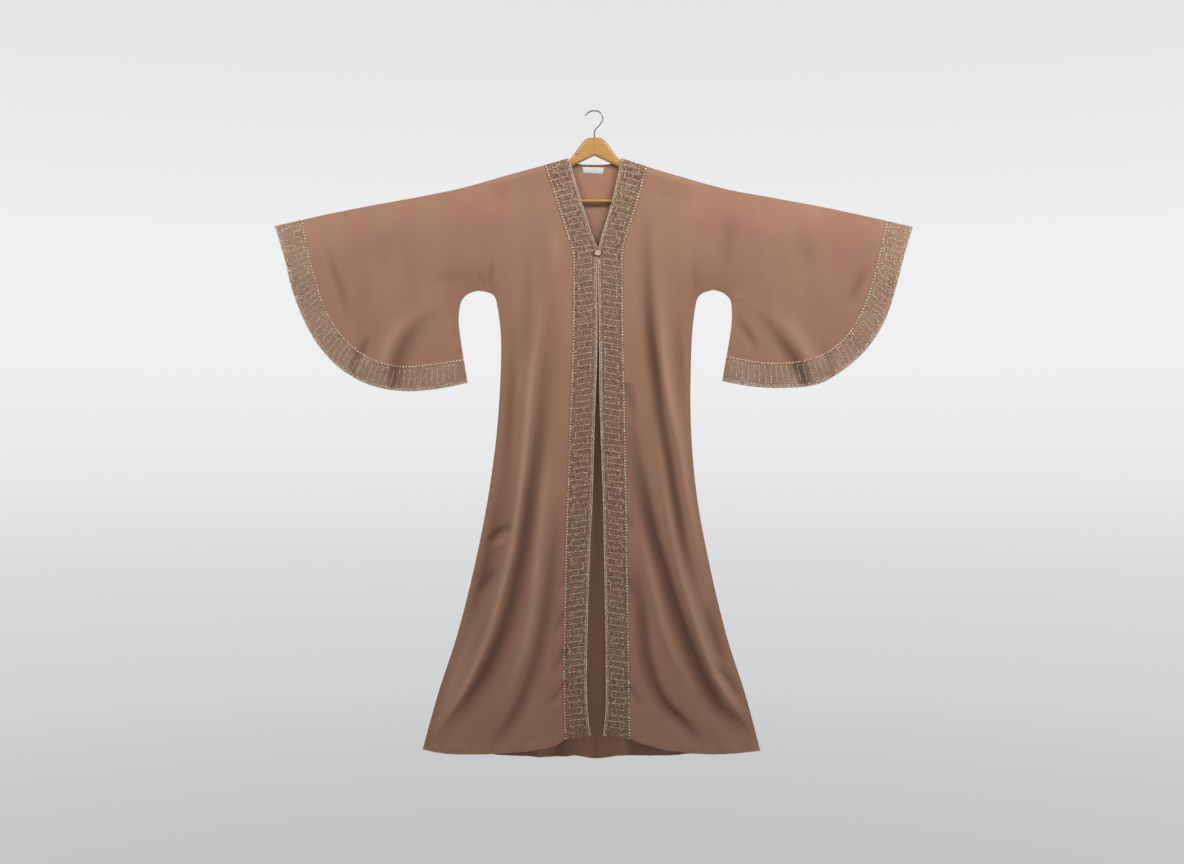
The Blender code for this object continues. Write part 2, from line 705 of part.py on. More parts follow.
def tube(name, route, radius, resolution, material):
    """A round cord or wire along a route, with closed ends."""
    curve = bpy.data.curves.new(name, "CURVE")
    curve.dimensions = "3D"
    curve.bevel_depth = radius
    curve.bevel_resolution = resolution
    curve.use_fill_caps = True
    line = curve.splines.new("POLY")
    line.points.add(len(route) - 1)
    for point, place in zip(line.points, route):
        point.co = (*place, 1.0)
    body = bpy.data.objects.new(name, curve)
    curve.materials.append(material)
    bpy.context.collection.objects.link(body)
    return body


def build_loop(material):
    """The cord loop that goes round the button, open towards the right front."""
    y = band_face_y(BUTTON_AT) - LOOP_CORD / 2 - GAP
    start = math.radians(180.0 - LOOP_OPENING)
    turns = [lerp(start, -start, i / 24) for i in range(25)]
    x, z = BUTTON_AT
    arc = [(x + LOOP_RADIUS * math.cos(t), y, z + LOOP_RADIUS * math.sin(t)) for t in turns]
    first = (arc[0][0] - LOOP_TAIL, y, arc[0][2] - LOOP_TAIL * 0.6)
    last = (arc[-1][0] - LOOP_TAIL, y, arc[-1][2] + LOOP_TAIL * 0.6)
    tube("button_loop", [first, *arc, last], LOOP_CORD / 2, 2, material)


def arm_row(side, row):
    """A section of the hanger's wood, its top dropped just below the shoulder seam."""
    x = SIDES[side] * row.out
    top = row.top
    curve = EDGES[side].overarm_curve
    if curve[0][0] * SIDES[side] < row.out:
        seam_z = at_share(curve, share_of_x(curve, x))[1]
        top = min(top, seam_z - SEAT_DROP)
    chamfer = min(ARM_CHAMFER, (top - row.bottom) / 3)
    edge = ARM_TOP_HALF * row.half / ARMS[0].half
    ring = [(edge, top), (row.half, top - chamfer),
            (row.half, row.bottom + chamfer), (edge * 2, row.bottom)]
    return [(x, y, z) for y, z in ring] + [(x, -y, z) for y, z in ring[::-1]]


def build_wood(material):
    """The hanger's wood, bored for the hook's shank and for the bar."""
    rings = [arm_row("right", row) for row in ARMS[:0:-1]] + [arm_row("left", row) for row in ARMS]
    shape = bmesh.new()
    rows = [[shape.verts.new(place) for place in ring] for ring in rings]
    for low, high in zip(rows, rows[1:]):
        for i in range(len(low)):
            j = (i + 1) % len(low)
            shape.faces.new((low[i], low[j], high[j], high[i]))
    shape.faces.new(rows[0])
    shape.faces.new(rows[-1])
    bmesh.ops.recalc_face_normals(shape, faces=shape.faces)
    mesh = bpy.data.meshes.new("hanger_wood")
    shape.to_mesh(mesh)
    shape.free()
    mesh.shade_smooth()
    mesh.set_sharp_from_angle(angle=math.radians(40))
    wood = link("hanger_wood", mesh, material)
    shank = HOOK_WIRE / 2 + HOLE_CLEARANCE
    shank_low = HOOK_PATH[0][1] - HOLE_CLEARANCE
    bore(wood, "shank_hole", shank, (0, 0, shank_low), (0, 0, 0))
    bar = BAR_RADIUS + HOLE_CLEARANCE
    end = BAR_END_X + HOLE_CLEARANCE
    bore(wood, "bar_hole", bar, (-end, 0, BAR_Z), (end, 0, BAR_Z))


def bore(body, name, radius, start, end):
    """Cut a round hole between two points."""
    low, high = Vector(start), Vector(end)
    axis = high - low
    mesh = bpy.data.meshes.new(name)
    shape = bmesh.new()
    bmesh.ops.create_cone(shape, cap_ends=True, segments=HOLE_SIDES, radius1=radius, radius2=radius,
                          depth=axis.length)
    shape.to_mesh(mesh)
    shape.free()
    cutter = bpy.data.objects.new(name, mesh)
    bpy.context.collection.objects.link(cutter)
    cutter.location = (low + high) / 2
    cutter.rotation_mode = "QUATERNION"
    cutter.rotation_quaternion = axis.to_track_quat("Z", "Y")
    cutter.hide_render = True
    cutter.display_type = "WIRE"
    cut = body.modifiers.new(name, "BOOLEAN")
    cut.operation = "DIFFERENCE"
    cut.solver = "EXACT"
    cut.object = cutter


def build_hanger(wood, wire):
    """The wooden hanger with its trouser bar and wire hook."""
    build_wood(wood)
    bar = [(lerp(-BAR_END_X, BAR_END_X, i / 8), 0.0, BAR_Z) for i in range(9)]
    tube("hanger_bar", bar, BAR_RADIUS, 3, wood)
    hook = [(x, 0.0, z) for x, z in evenly(through(HOOK_PATH), 44)]
    tube("hanger_hook", hook, HOOK_WIRE / 2, 2, wire)


def main():
    """Build the cloak and its hanger."""
    clear_scene()
    cloth = make_material("brown satin crepe", (0.39, 0.22, 0.16), 0.62, sheen=0.3)
    trim = make_material("speckled band cloth", (0.27, 0.19, 0.15), 0.8, sheen=0.2)
    binding = make_material("mauve binding", (0.24, 0.09, 0.09), 0.75)
    label = make_material("white label cloth", (0.80, 0.78, 0.75), 0.8)
    button = make_material("cream button", (0.72, 0.58, 0.42), 0.35)
    cord = make_material("khaki cord", (0.36, 0.29, 0.17), 0.8)
    wood = make_material("honey wood", (0.62, 0.33, 0.09), 0.35)
    wire = make_material("steel wire", (0.55, 0.55, 0.56), 0.22, metallic=1.0)
    for side in SIDES:
        build_front(side, cloth, trim)
    build_back(cloth, trim, binding, label)
    build_button(button)
    build_loop(cord)
    build_hanger(wood, wire)


main()
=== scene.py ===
"""Looks of an abaya cloak on a wooden hanger, hung up with its wide sleeves spread.

Metres, in the frame's own axes: +Z is up, the front faces -Y, and the wearer's right is
at -X. The tables of edges and folds are in millimetres. Every piece of cloth is a thin
shell over an outline in the XZ plane. A Layer says how far it stands from the middle
plane, so that panels, bands and stitches agree.
"""

import logging
import math
from dataclasses import dataclass
from enum import Enum
from typing import Iterable, NamedTuple

import bmesh
import bpy
import numpy as np
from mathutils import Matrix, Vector
from mathutils.geometry import delaunay_2d_cdt
from mathutils.kdtree import KDTree


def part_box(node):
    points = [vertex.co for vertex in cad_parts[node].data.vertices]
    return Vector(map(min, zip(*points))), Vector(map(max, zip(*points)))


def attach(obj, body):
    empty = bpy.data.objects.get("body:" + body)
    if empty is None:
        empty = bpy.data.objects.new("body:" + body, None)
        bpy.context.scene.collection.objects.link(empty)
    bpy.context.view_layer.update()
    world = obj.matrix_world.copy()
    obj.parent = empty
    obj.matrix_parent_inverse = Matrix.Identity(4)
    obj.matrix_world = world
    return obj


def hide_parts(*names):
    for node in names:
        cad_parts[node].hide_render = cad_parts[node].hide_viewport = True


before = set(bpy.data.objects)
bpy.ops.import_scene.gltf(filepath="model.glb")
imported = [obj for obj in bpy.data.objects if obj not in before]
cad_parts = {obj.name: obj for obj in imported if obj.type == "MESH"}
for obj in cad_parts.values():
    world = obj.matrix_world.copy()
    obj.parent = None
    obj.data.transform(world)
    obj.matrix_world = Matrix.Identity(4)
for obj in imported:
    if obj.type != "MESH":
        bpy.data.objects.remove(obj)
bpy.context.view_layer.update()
LOG = logging.getLogger("abaya")
BODY = "root"

Colour = tuple[float, float, float]
Point2 = tuple[float, float]
Faces = list[tuple[int, ...]]
Material = bpy.types.Material
Mesh = bpy.types.Mesh
Piece = bpy.types.Object
Socket = bpy.types.NodeSocket


class Side(Enum):
    """The wearer's side, with the sign of its X."""

    RIGHT = -1
    LEFT = 1

    @property
    def word(self) -> str:
        """The side's name in the names of pieces."""
        return self.name.lower()


class Facing(Enum):
    """Which way a layer of the cloak faces, with the sign of its Y."""

    FRONT = -1
    BACK = 1


class Join(Enum):
    """Where a bar of the key pattern turns into the next one."""

    NONE = 0
    OUTER = 1
    OPENING = 2


class Arm(NamedTuple):
    """A section of the hanger's wood."""

    out: float
    top: float
    bottom: float
    half: float


def metres(table: Iterable) -> np.ndarray:
    """Metres from millimetres, to the nearest tenth of a millimetre."""
    return np.round(np.asarray(table, float) * 10.0) / 10000.0


# The tables of edges and folds are in millimetres. A row of an edge gives the distance out
# from the middle and the height of a point, on the right side and then on the left.

# Shoulder and top of the sleeve, from the neck to the cuff
OVERARM = ((63, -113, 65.5, -113), (125.8, -131, 127.1, -133.3), (203.1, -151.9, 203.2, -156),
    (315, -183.5, 314.6, -186.7), (414.7, -204.4, 414, -205.5), (529.1, -225.3, 527.6, -226.1),
    (643.3, -247.7, 640.8, -249.5), (770.9, -276.5, 767.5, -278.5))

# Open edge of the sleeve, from the top round to the underarm
CUFF_EDGE = (OVERARM[-1], (746.8, -351.1, 744, -352.7), (728.2, -427.2, 724.8, -427.4),
    (700.4, -500.4, 700, -500.4), (661.3, -568.1, 660.2, -566.2), (607, -623.9, 604.5, -619),
    (538.2, -660.4, 537.9, -657.5), (461.3, -674.1, 461.4, -665.9), (383.3, -668.7, 384.3, -662.9),
    (306.2, -654, 308.2, -650))

# Inner edge of the cuff band
CUFF_INNER = ((703.2, -261, 704.2, -263.2), (688.9, -334.6, 686.3, -335.9),
    (669.4, -409.2, 668.5, -409.2), (644.9, -482.1, 643.2, -480.2), (602.2, -546, 603.6, -544.1),
    (542.5, -593.6, 543.3, -588.4), (468.6, -614.1, 469.9, -605), (391.7, -609.4, 394.6, -604),
    (315.6, -597.4, 318.7, -589.5))

# Sewn edge under the arm, from the cuff band up to the round of the armpit
UNDERARM = (CUFF_INNER[-1], (323.5, -545, 326.2, -545), (327.5, -506, 331, -506),
    (323.2, -464, 329, -459), (308, -442, 312, -438.5), (281.8, -431.8, 286.6, -429.8))

# Sewn side edge, from the armpit to the hem
SIDE_SEAM = (UNDERARM[-1], (245, -442, 253, -444), (232.4, -481, 241.2, -484.9),
    (225, -573.3, 233.5, -577.1), (233.2, -747, 232.3, -750.4), (254.8, -919.6, 246.3, -923.3),
    (287.9, -1090.3, 277.5, -1093.8), (330.1, -1259, 317.9, -1262.5),
    (376.7, -1402.4, 364, -1406.9), (414.2, -1537.7, 399.6, -1540.6))

# Bottom edge of a front, from the side to the band
FRONT_HEM = (SIDE_SEAM[-1], (356, -1544.7, 344, -1543.8), (263, -1545.5, 263.3, -1545.1),
    (190.3, -1541, 179, -1537), (139.7, -1535.8, 145.4, -1529.3), (98, -1526.5, 111.6, -1519),
    (71.3, -1510, 85.7, -1508))

# Bottom edge of the back, from the right side to the left
BACK_HEM = ((-414.2, -1537.7), (-308.4, -1549), (-214.8, -1557.8), (-82.8, -1561.2),
    (-45, -1557.5), (5, -1562.5), (73.2, -1556.5), (128.4, -1558.6), (262.8, -1553.5),
    (399.6, -1540.6))

# Top edge of the back, from the right side of the neck to the left
BACK_NECK = ((-63, -113), (-40, -125), (0, -127), (40, -125), (65.5, -113))

# Front bands, a row for each section across them: the heights of the opening edge and of
# the outer edge, then the X of both edges on the right band, and on the left band
BAND = ((-113, -130, -63, -119.5, 65.5, 127.5), (-205, -224, -36.2, -89.2, 46.4, 102.2),
    (-297, -313, -7.2, -61.2, 19.8, 74.2), (-332.6, -344, 7.4, -53.7, 9.8, 69.2),
    (-375, -380, 4.8, -50.8, 8.6, 67.8), (-566, -566, 6, -53, 12.2, 69.6),
    (-700, -700, 1.2, -57.5, 13.2, 72.6), (-940, -940, -6, -66, 21.1, 77.3),
    (-1063, -1063, -12, -69.6, 23.5, 78.7), (-1310, -1310, -19, -74.2, 27.6, 82.8),
    (-1428, -1428, -18, -73.5, 27.6, 84.5), (-1502, -1510, -10.1, -71.3, 21.8, 85.7))
BAND_CORNER_ROW = 3

# Hanger's wood, a row for each section from the middle outwards
ARMS = ((0, -62.2, -106.6, 6), (11, -63.2, -111.8, 6), (20, -66.5, -116.1, 6),
    (27, -72.2, -119.4, 6), (33.5, -80.2, -122.5, 6), (40.5, -89.5, -125.9, 6),
    (48, -100.2, -129.4, 6), (56, -111.5, -133.2, 6), (64, -118.2, -137, 6), (75, -119, -142.5, 6),
    (95, -121, -152, 6), (115, -126, -162.5, 6), (135, -135, -174, 6), (155, -145, -187, 6),
    (175, -156, -205, 6), (190, -165, -225, 6), (202, -176, -229, 5.5), (210, -188, -226, 4.5),
    (215, -200, -216, 3))

# The hook's centreline, from its foot in the wood to its tip
HOOK_PATH = ((0, -78), (0, -50), (2, -42.8), (7.5, -37.5), (13.7, -30), (18.5, -21.5), (19.5, -12),
    (14.5, -3.2), (6.5, 1.2), (-1.5, 1.8), (-9.5, 0.4), (-17, -4), (-23.5, -10))

# A height below both sleeves, under which all the cloth is the body's
SLEEVE_BOTTOM_Z = -0.7470


def rise(value: np.ndarray) -> np.ndarray:
    """A smooth rise from 0 to 1 as the value goes from 0 to 1."""
    share = np.clip(value, 0.0, 1.0)
    return share * share * (3.0 - 2.0 * share)


def through(points: Iterable[tuple[float, ...]], steps: int = 8) -> np.ndarray:
    """A dense smooth curve through points.

    Args:
        points: The points, each with any number of coordinates.
        steps: Steps between two points.

    Returns:
        The curve's points, one row each.
    """
    knots = np.asarray(list(points), float)
    ends = np.vstack([knots[:1], knots, knots[-1:]])
    t = (np.arange(steps) / steps)[:, None]
    rows = []
    for a, b, c, d in zip(ends, ends[1:], ends[2:], ends[3:]):
        rows.append(0.5 * (2 * b + (c - a) * t + (2 * a - 5 * b + 4 * c - d) * t ** 2
                           + (3 * b - a - 3 * c + d) * t ** 3))
    return np.vstack([*rows, knots[-1:]])


def running(curve: np.ndarray) -> np.ndarray:
    """The length run at each point of a curve."""
    return np.concatenate([[0.0], np.cumsum(np.linalg.norm(np.diff(curve, axis=0), axis=1))])


def at_lengths(curve: np.ndarray, wanted: np.ndarray) -> np.ndarray:
    """The points of a curve at the given lengths along it."""
    run = running(curve)
    return np.column_stack([np.interp(wanted, run, axis) for axis in curve.T])


def evenly(curve: np.ndarray, count: int, start: float = 0.0, end: float = 1.0) -> np.ndarray:
    """Points at even steps along a stretch of a curve.

    Args:
        curve: The curve's points.
        count: Number of steps.
        start: Share of the curve's length where the stretch starts.
        end: Share of its length where the stretch ends.

    Returns:
        The points, both ends included.
    """
    total = running(curve)[-1]
    return at_lengths(curve, np.linspace(start * total, end * total, count + 1))


def stepped(curve: np.ndarray, step: float, start: float = 0.0, end: float = 1.0) -> np.ndarray:
    """Points about a step apart along a stretch of a curve, both ends included."""
    total = running(curve)[-1] * (end - start)
    return evenly(curve, max(1, round(total / step)), start, end)


def chain(*stretches: np.ndarray) -> np.ndarray:
    """Stretches that meet end to end, as one line without the doubled points."""
    return np.vstack([stretches[0], *(stretch[1:] for stretch in stretches[1:])])


def share_of_x(curve: np.ndarray, x: float) -> float:
    """The share of a curve's length at which it first reaches a distance from the middle."""
    run = running(curve)
    out = np.abs(curve[:, 0])
    after = int(np.argmax(out >= abs(x)))
    before = max(after - 1, 0)
    return float(np.interp(abs(x), [out[before], out[after]], [run[before], run[after]]) / run[-1])


class Near(NamedTuple):
    """How points lie to a line: the distance, the share along it, and the hand."""

    away: np.ndarray
    share: np.ndarray
    hand: np.ndarray


def near_line(places: np.ndarray, line: np.ndarray, block: int = 4096) -> Near:
    """How points lie to a polyline.

    Args:
        places: Points, a row each.
        line: The polyline's points.
        block: Points handled at a time.

    Returns:
        The distance, the share of the line's length at the nearest point, and a number
        that is positive on the line's left hand.
    """
    step = np.diff(line, axis=0)
    span = np.linalg.norm(step, axis=1)
    run = running(line)
    parts = []
    for first in range(0, len(places), block):
        offset = places[first:first + block, None, :] - line[None, :-1, :]
        t = np.clip((offset * step).sum(2) / span ** 2, 0.0, 1.0)
        gap = offset - t[..., None] * step
        away = np.hypot(gap[..., 0], gap[..., 1])
        best = away.argmin(1)
        rows = np.arange(len(best))
        near = gap[rows, best]
        hand = step[best, 0] * near[:, 1] - step[best, 1] * near[:, 0]
        parts.append((away[rows, best], (run[best] + t[rows, best] * span[best]) / run[-1], hand))
    if not parts:
        return Near(*(np.zeros(0) for _ in range(3)))
    return Near(*(np.concatenate(column) for column in zip(*parts)))


def inside(places: np.ndarray, outline: np.ndarray) -> np.ndarray:
    """Which points lie in a closed outline."""
    x, z = places.T
    within = np.zeros(len(places), bool)
    for (ax, az), (bx, bz) in zip(outline, np.roll(outline, -1, axis=0)):
        if az != bz:
            crosses = ((az > z) != (bz > z)) & (x < (bx - ax) * (z - az) / (bz - az) + ax)
            within ^= crosses
    return within


def column(table: Iterable, side: Side) -> np.ndarray:
    """One side's points of an edge's table."""
    rows = metres(table)
    return rows[:, :2] * (-1.0, 1.0) if side is Side.RIGHT else rows[:, 2:]


# Steps between the points along the edges of the cloth, in its lattice and along a ribbon.
# The lattice keeps the clearance, a share of its step, from the edges.
EDGE_STEP = 0.006
LATTICE_STEP = 0.0062
EDGE_CLEARANCE = 0.72
RIBBON_STEP = 0.005


class Cut:
    """The edges of one side of the cloak, in the XZ plane."""

    UPPER_BAND_STEPS = 46
    LOWER_BAND_STEPS = 234

    def __init__(self, side: Side) -> None:
        """Work the edges out from the tables."""
        self.side = side
        self.overarm_curve = through(column(OVERARM, side))
        inner, outer = self.band_points()
        cuff_inner = through(column(CUFF_INNER, side))
        neck_end = share_of_x(self.overarm_curve, outer[0][0])
        cuff_start = share_of_x(self.overarm_curve, cuff_inner[0][0])
        self.overarm = chain(*(stepped(self.overarm_curve, EDGE_STEP, start, end) for start, end in
                               ((0.0, neck_end), (neck_end, cuff_start), (cuff_start, 1.0))))
        self.cuff = through(column(CUFF_EDGE, side))
        cuff_inner[0] = evenly(self.overarm_curve, 1, cuff_start, 1.0)[0]
        self.cuff_inner = cuff_inner
        self.under = chain(np.array([self.cuff[-1], self.cuff_inner[-1]]),
                           through(column(UNDERARM, side)), through(column(SIDE_SEAM, side)))
        inner[0] = self.overarm[0]
        outer[0] = evenly(self.overarm_curve, 1, neck_end, 1.0)[0]
        self.band_inner = self.band_rail(inner)
        self.band_outer = self.band_rail(outer)
        self.hem = through(column(FRONT_HEM, side))

    def band_points(self) -> tuple[np.ndarray, np.ndarray]:
        """The points of the band's inner and outer edge."""
        rows = metres(BAND)
        x = 2 if self.side is Side.RIGHT else 4
        return rows[:, (x, 0)], rows[:, (x + 1, 1)]

    def band_rail(self, points: np.ndarray) -> np.ndarray:
        """A band's edge, with the corner at the point of the neckline kept."""
        return chain(evenly(through(points[:BAND_CORNER_ROW + 1]), self.UPPER_BAND_STEPS),
                     evenly(through(points[BAND_CORNER_ROW:]), self.LOWER_BAND_STEPS))

    def front_outline(self) -> np.ndarray:
        """The closed outline of a front with its sleeve."""
        foot = np.array([self.band_outer[-1], self.band_inner[-1]])
        edges = (stepped(edge, EDGE_STEP) for edge in (self.cuff, self.under, self.hem, foot))
        return chain(self.overarm, *edges, self.band_inner[::-1])[:-1]


CUTS = {side: Cut(side) for side in Side}


@dataclass(frozen=True)
class Crease:
    """A soft fold: a trough where its depth is negative, a ridge where it is positive.

    Its depth, reach and path are in millimetres. Its reach is how wide it is on the right
    and on the left hand of its path. Start and end are the shares of its length that it
    fades in and out over. Its last field is how much the cloth's colour follows it as painted
    shade in a trough and painted highlight on a ridge.
    """

    depth: float
    right: float
    left: float
    path: tuple[Point2, ...]
    start: float = 0.25
    end: float = 0.25
    paint: float = 1.0

    def height(self, places: np.ndarray) -> np.ndarray:
        """How far the fold lifts the cloth at each point."""
        line = through(metres(self.path), 4)
        depth, right, left = metres((self.depth, self.right, self.left))
        margin = 3.0 * max(right, left)
        near = np.all((places > line.min(0) - margin) & (places < line.max(0) + margin), axis=1)
        away, share, hand = near_line(places[near], line)
        fade = rise(share / self.start) * rise((1.0 - share) / self.end)
        total = np.zeros(len(places))
        total[near] = depth * fade * np.exp(-(away / np.where(hand > 0, left, right)) ** 2)
        return total


# Folds of the two fronts. A path runs down or outwards, and one that reaches an edge goes
# on past it.
FRONT_CREASES = (
    # The right front: its long thin ridge, and the broad dark fold on the band's side of it
    Crease(7, 11, 9, ((-128, -380), (-135, -527), (-150, -626), (-162, -755), (-173, -870),
        (-186, -969), (-200, -1060), (-223, -1151), (-249, -1250), (-284, -1334), (-322, -1410),
        (-400, -1530)), 0.3, 0.15),
    Crease(-9.5, 13, 24, ((-98, -360), (-105, -488), (-114, -565), (-126, -679), (-138, -801),
        (-153, -908), (-168, -1022), (-187, -1121), (-213, -1228), (-248, -1319), (-280, -1380),
        (-318, -1441), (-400, -1550)), 0.5, 0.2),
    # The next ridge and fold towards the band
    Crease(5.5, 13, 13, ((-92, -680), (-104, -801), (-118, -892), (-129, -984), (-141, -1098),
        (-152, -1212), (-171, -1304), (-202, -1388), (-250, -1490)), 0.4, 0.3),
    Crease(-7, 12, 18, ((-82, -860), (-93, -984), (-106, -1098), (-118, -1197), (-134, -1289),
        (-160, -1380), (-198, -1464), (-270, -1570)), 0.45, 0.2),
    # The soft folds between the ridge and the side
    Crease(-5, 20, 13, ((-190, -440), (-200, -580), (-207, -720), (-212, -860),
        (-222, -990)), 0.5, 0.4),
    Crease(-7.8, 22, 26, ((-226, -840), (-240, -960), (-266, -1090), (-296, -1190), (-330, -1300),
        (-360, -1380)), 0.4, 0.4),
    Crease(-4.5, 7, 11, ((-194, -990), (-216, -1006), (-246, -1022), (-280, -1048)), 0.3, 0.5),
    Crease(3, 10, 8, ((-204, -1030), (-236, -1048), (-270, -1078)), 0.4, 0.5),
    Crease(-3.5, 10, 12, ((-232, -1095), (-258, -1130), (-292, -1170)), 0.35, 0.45),
    Crease(4.5, 20, 16, ((-262, -1110), (-288, -1220), (-330, -1350), (-380, -1470),
        (-420, -1580)), 0.4, 0.25),
    # Small slanting folds that the band's seam draws in
    Crease(-3.4, 7, 8, ((-68, -1205), (-88, -1240), (-110, -1272)), 0.1, 0.6),
    Crease(-3.8, 7, 9, ((-66, -1290), (-90, -1335), (-116, -1375)), 0.1, 0.6),
    Crease(-3.4, 7, 8, ((-66, -1372), (-92, -1408), (-128, -1446)), 0.1, 0.6),
    Crease(-2.6, 6, 7, ((-66, -1120), (-80, -1142), (-96, -1166)), 0.1, 0.6),
    # Soft shading of the chest
    Crease(-2.6, 16, 14, ((-155, -280), (-160, -400), (-168, -540), (-178, -680)), 0.45, 0.45),
    Crease(2.4, 14, 14, ((-98, -260), (-96, -340), (-100, -430)), 0.4, 0.5),
    # The left front: its thin fold from the shoulder, with the bright ridge outside it
    Crease(-10.8, 17, 11, ((130, -185), (128, -271), (126, -334), (130, -451), (136, -542),
        (146, -623), (158, -731), (170, -801), (188, -903), (204, -992), (217, -1058),
        (233, -1120), (256, -1190), (290, -1256)), 0.4, 0.3),
    Crease(7, 9, 17, ((154, -360), (158, -451), (165, -587), (180, -695), (208, -818), (226, -916),
        (248, -1014), (271, -1103), (289, -1169), (310, -1235)), 0.35, 0.25),
    # The second ridge, and the broad fold on the band's side of it
    Crease(6.2, 9, 14, ((140, -600), (149, -713), (156, -800), (170, -903), (187, -1011),
        (209, -1111), (232, -1192), (260, -1282), (297, -1372), (350, -1450),
        (410, -1520)), 0.4, 0.2),
    Crease(-10.4, 25, 13, ((78, -610), (88, -710), (96, -805), (120, -925), (142, -1023),
        (164, -1094), (191, -1183), (222, -1271), (249, -1338), (280, -1400), (315, -1449),
        (420, -1540)), 0.45, 0.2),
    # The third ridge and fold
    Crease(4.8, 12, 12, ((94, -900), (108, -1002), (126, -1074), (144, -1156), (167, -1246),
        (198, -1327), (250, -1415)), 0.4, 0.35),
    Crease(-7.8, 20, 13, ((86, -1030), (99, -1129), (113, -1219), (125, -1318), (160, -1415),
        (220, -1480), (280, -1550)), 0.4, 0.25),
    Crease(-5.6, 10, 14, ((262, -1180), (280, -1236), (302, -1302), (330, -1360)), 0.35, 0.4),
    Crease(-5.6, 9, 13, ((282, -1318), (297, -1342), (324, -1373), (352, -1412),
        (390, -1460)), 0.35, 0.4),
    Crease(-3.6, 10, 12, ((70, -655), (82, -690), (96, -745)), 0.1, 0.6),
    Crease(-2.6, 6, 7, ((74, -975), (86, -998), (100, -1030)), 0.1, 0.6),
    Crease(-2.6, 6, 7, ((76, -1125), (88, -1150), (104, -1186)), 0.1, 0.6),
    Crease(-2.8, 7, 8, ((80, -1380), (96, -1410), (118, -1445)), 0.1, 0.6),
    Crease(-3.4, 18, 12, ((196, -420), (204, -540), (214, -660), (228, -800)), 0.45, 0.45),
    # The right sleeve
    Crease(-3, 10, 13, ((-648, -310), (-641, -345), (-630, -387), (-614, -433), (-601, -482),
        (-586, -530)), 0.4, 0.4),
    Crease(-7.5, 12, 24, ((-330, -462), (-362, -480), (-404, -501), (-434, -532), (-461, -570),
        (-476, -605), (-488, -655), (-496, -720)), 0.8, 0.1),
    Crease(4.5, 20, 14, ((-400, -470), (-448, -500), (-484, -548), (-508, -605),
        (-520, -700)), 0.45, 0.1),
    Crease(-5.5, 10, 10, ((-540, -530), (-549, -551), (-559, -578), (-580, -615),
        (-600, -680)), 0.35, 0.1),
    Crease(-1.4, 16, 20, ((-286, -424), (-312, -409), (-345, -402), (-380, -406),
        (-425, -426)), 0.4, 0.5),
    Crease(-2.8, 7, 8, ((-322, -478), (-338, -488), (-356, -502)), 0.15, 0.6),
    Crease(-2.8, 7, 8, ((-320, -530), (-334, -538), (-350, -550)), 0.15, 0.6),
    Crease(-3, 6, 6, ((-254, -440), (-252, -405), (-246, -364), (-244, -330)), 0.2, 0.7),
    Crease(-2.2, 6, 6, ((-262, -436), (-274, -405), (-292, -374)), 0.2, 0.7),
    Crease(-1.6, 30, 30, ((-470, -250), (-500, -330), (-520, -420)), 0.5, 0.5),
    # The left sleeve
    Crease(-2.2, 22, 20, ((330, -215), (328, -278), (321, -337), (314, -400)), 0.45, 0.35),
    Crease(-3.8, 14, 12, ((654, -370), (645, -402), (627, -443), (611, -488)), 0.45, 0.45),
    Crease(-8, 20, 12, ((330, -462), (352, -472), (385, -492), (419, -517), (444, -552),
        (469, -584), (490, -616), (507, -651), (520, -720)), 0.75, 0.1),
    Crease(4.5, 14, 22, ((420, -480), (468, -526), (500, -572), (526, -625),
        (540, -700)), 0.45, 0.1),
    Crease(-4, 10, 10, ((330, -480), (340, -496), (359, -524), (381, -559),
        (398, -592)), 0.3, 0.4),
    Crease(-3.4, 12, 12, ((550, -550), (560, -594), (574, -680)), 0.45, 0.1),
    Crease(-2.6, 6, 6, ((246, -446), (241, -410), (236, -366), (236, -330)), 0.2, 0.7),
    Crease(2, 8, 8, ((310, -446), (340, -450), (372, -450)), 0.3, 0.6),
    Crease(-1.6, 30, 30, ((480, -250), (510, -340), (530, -430)), 0.5, 0.5),
)

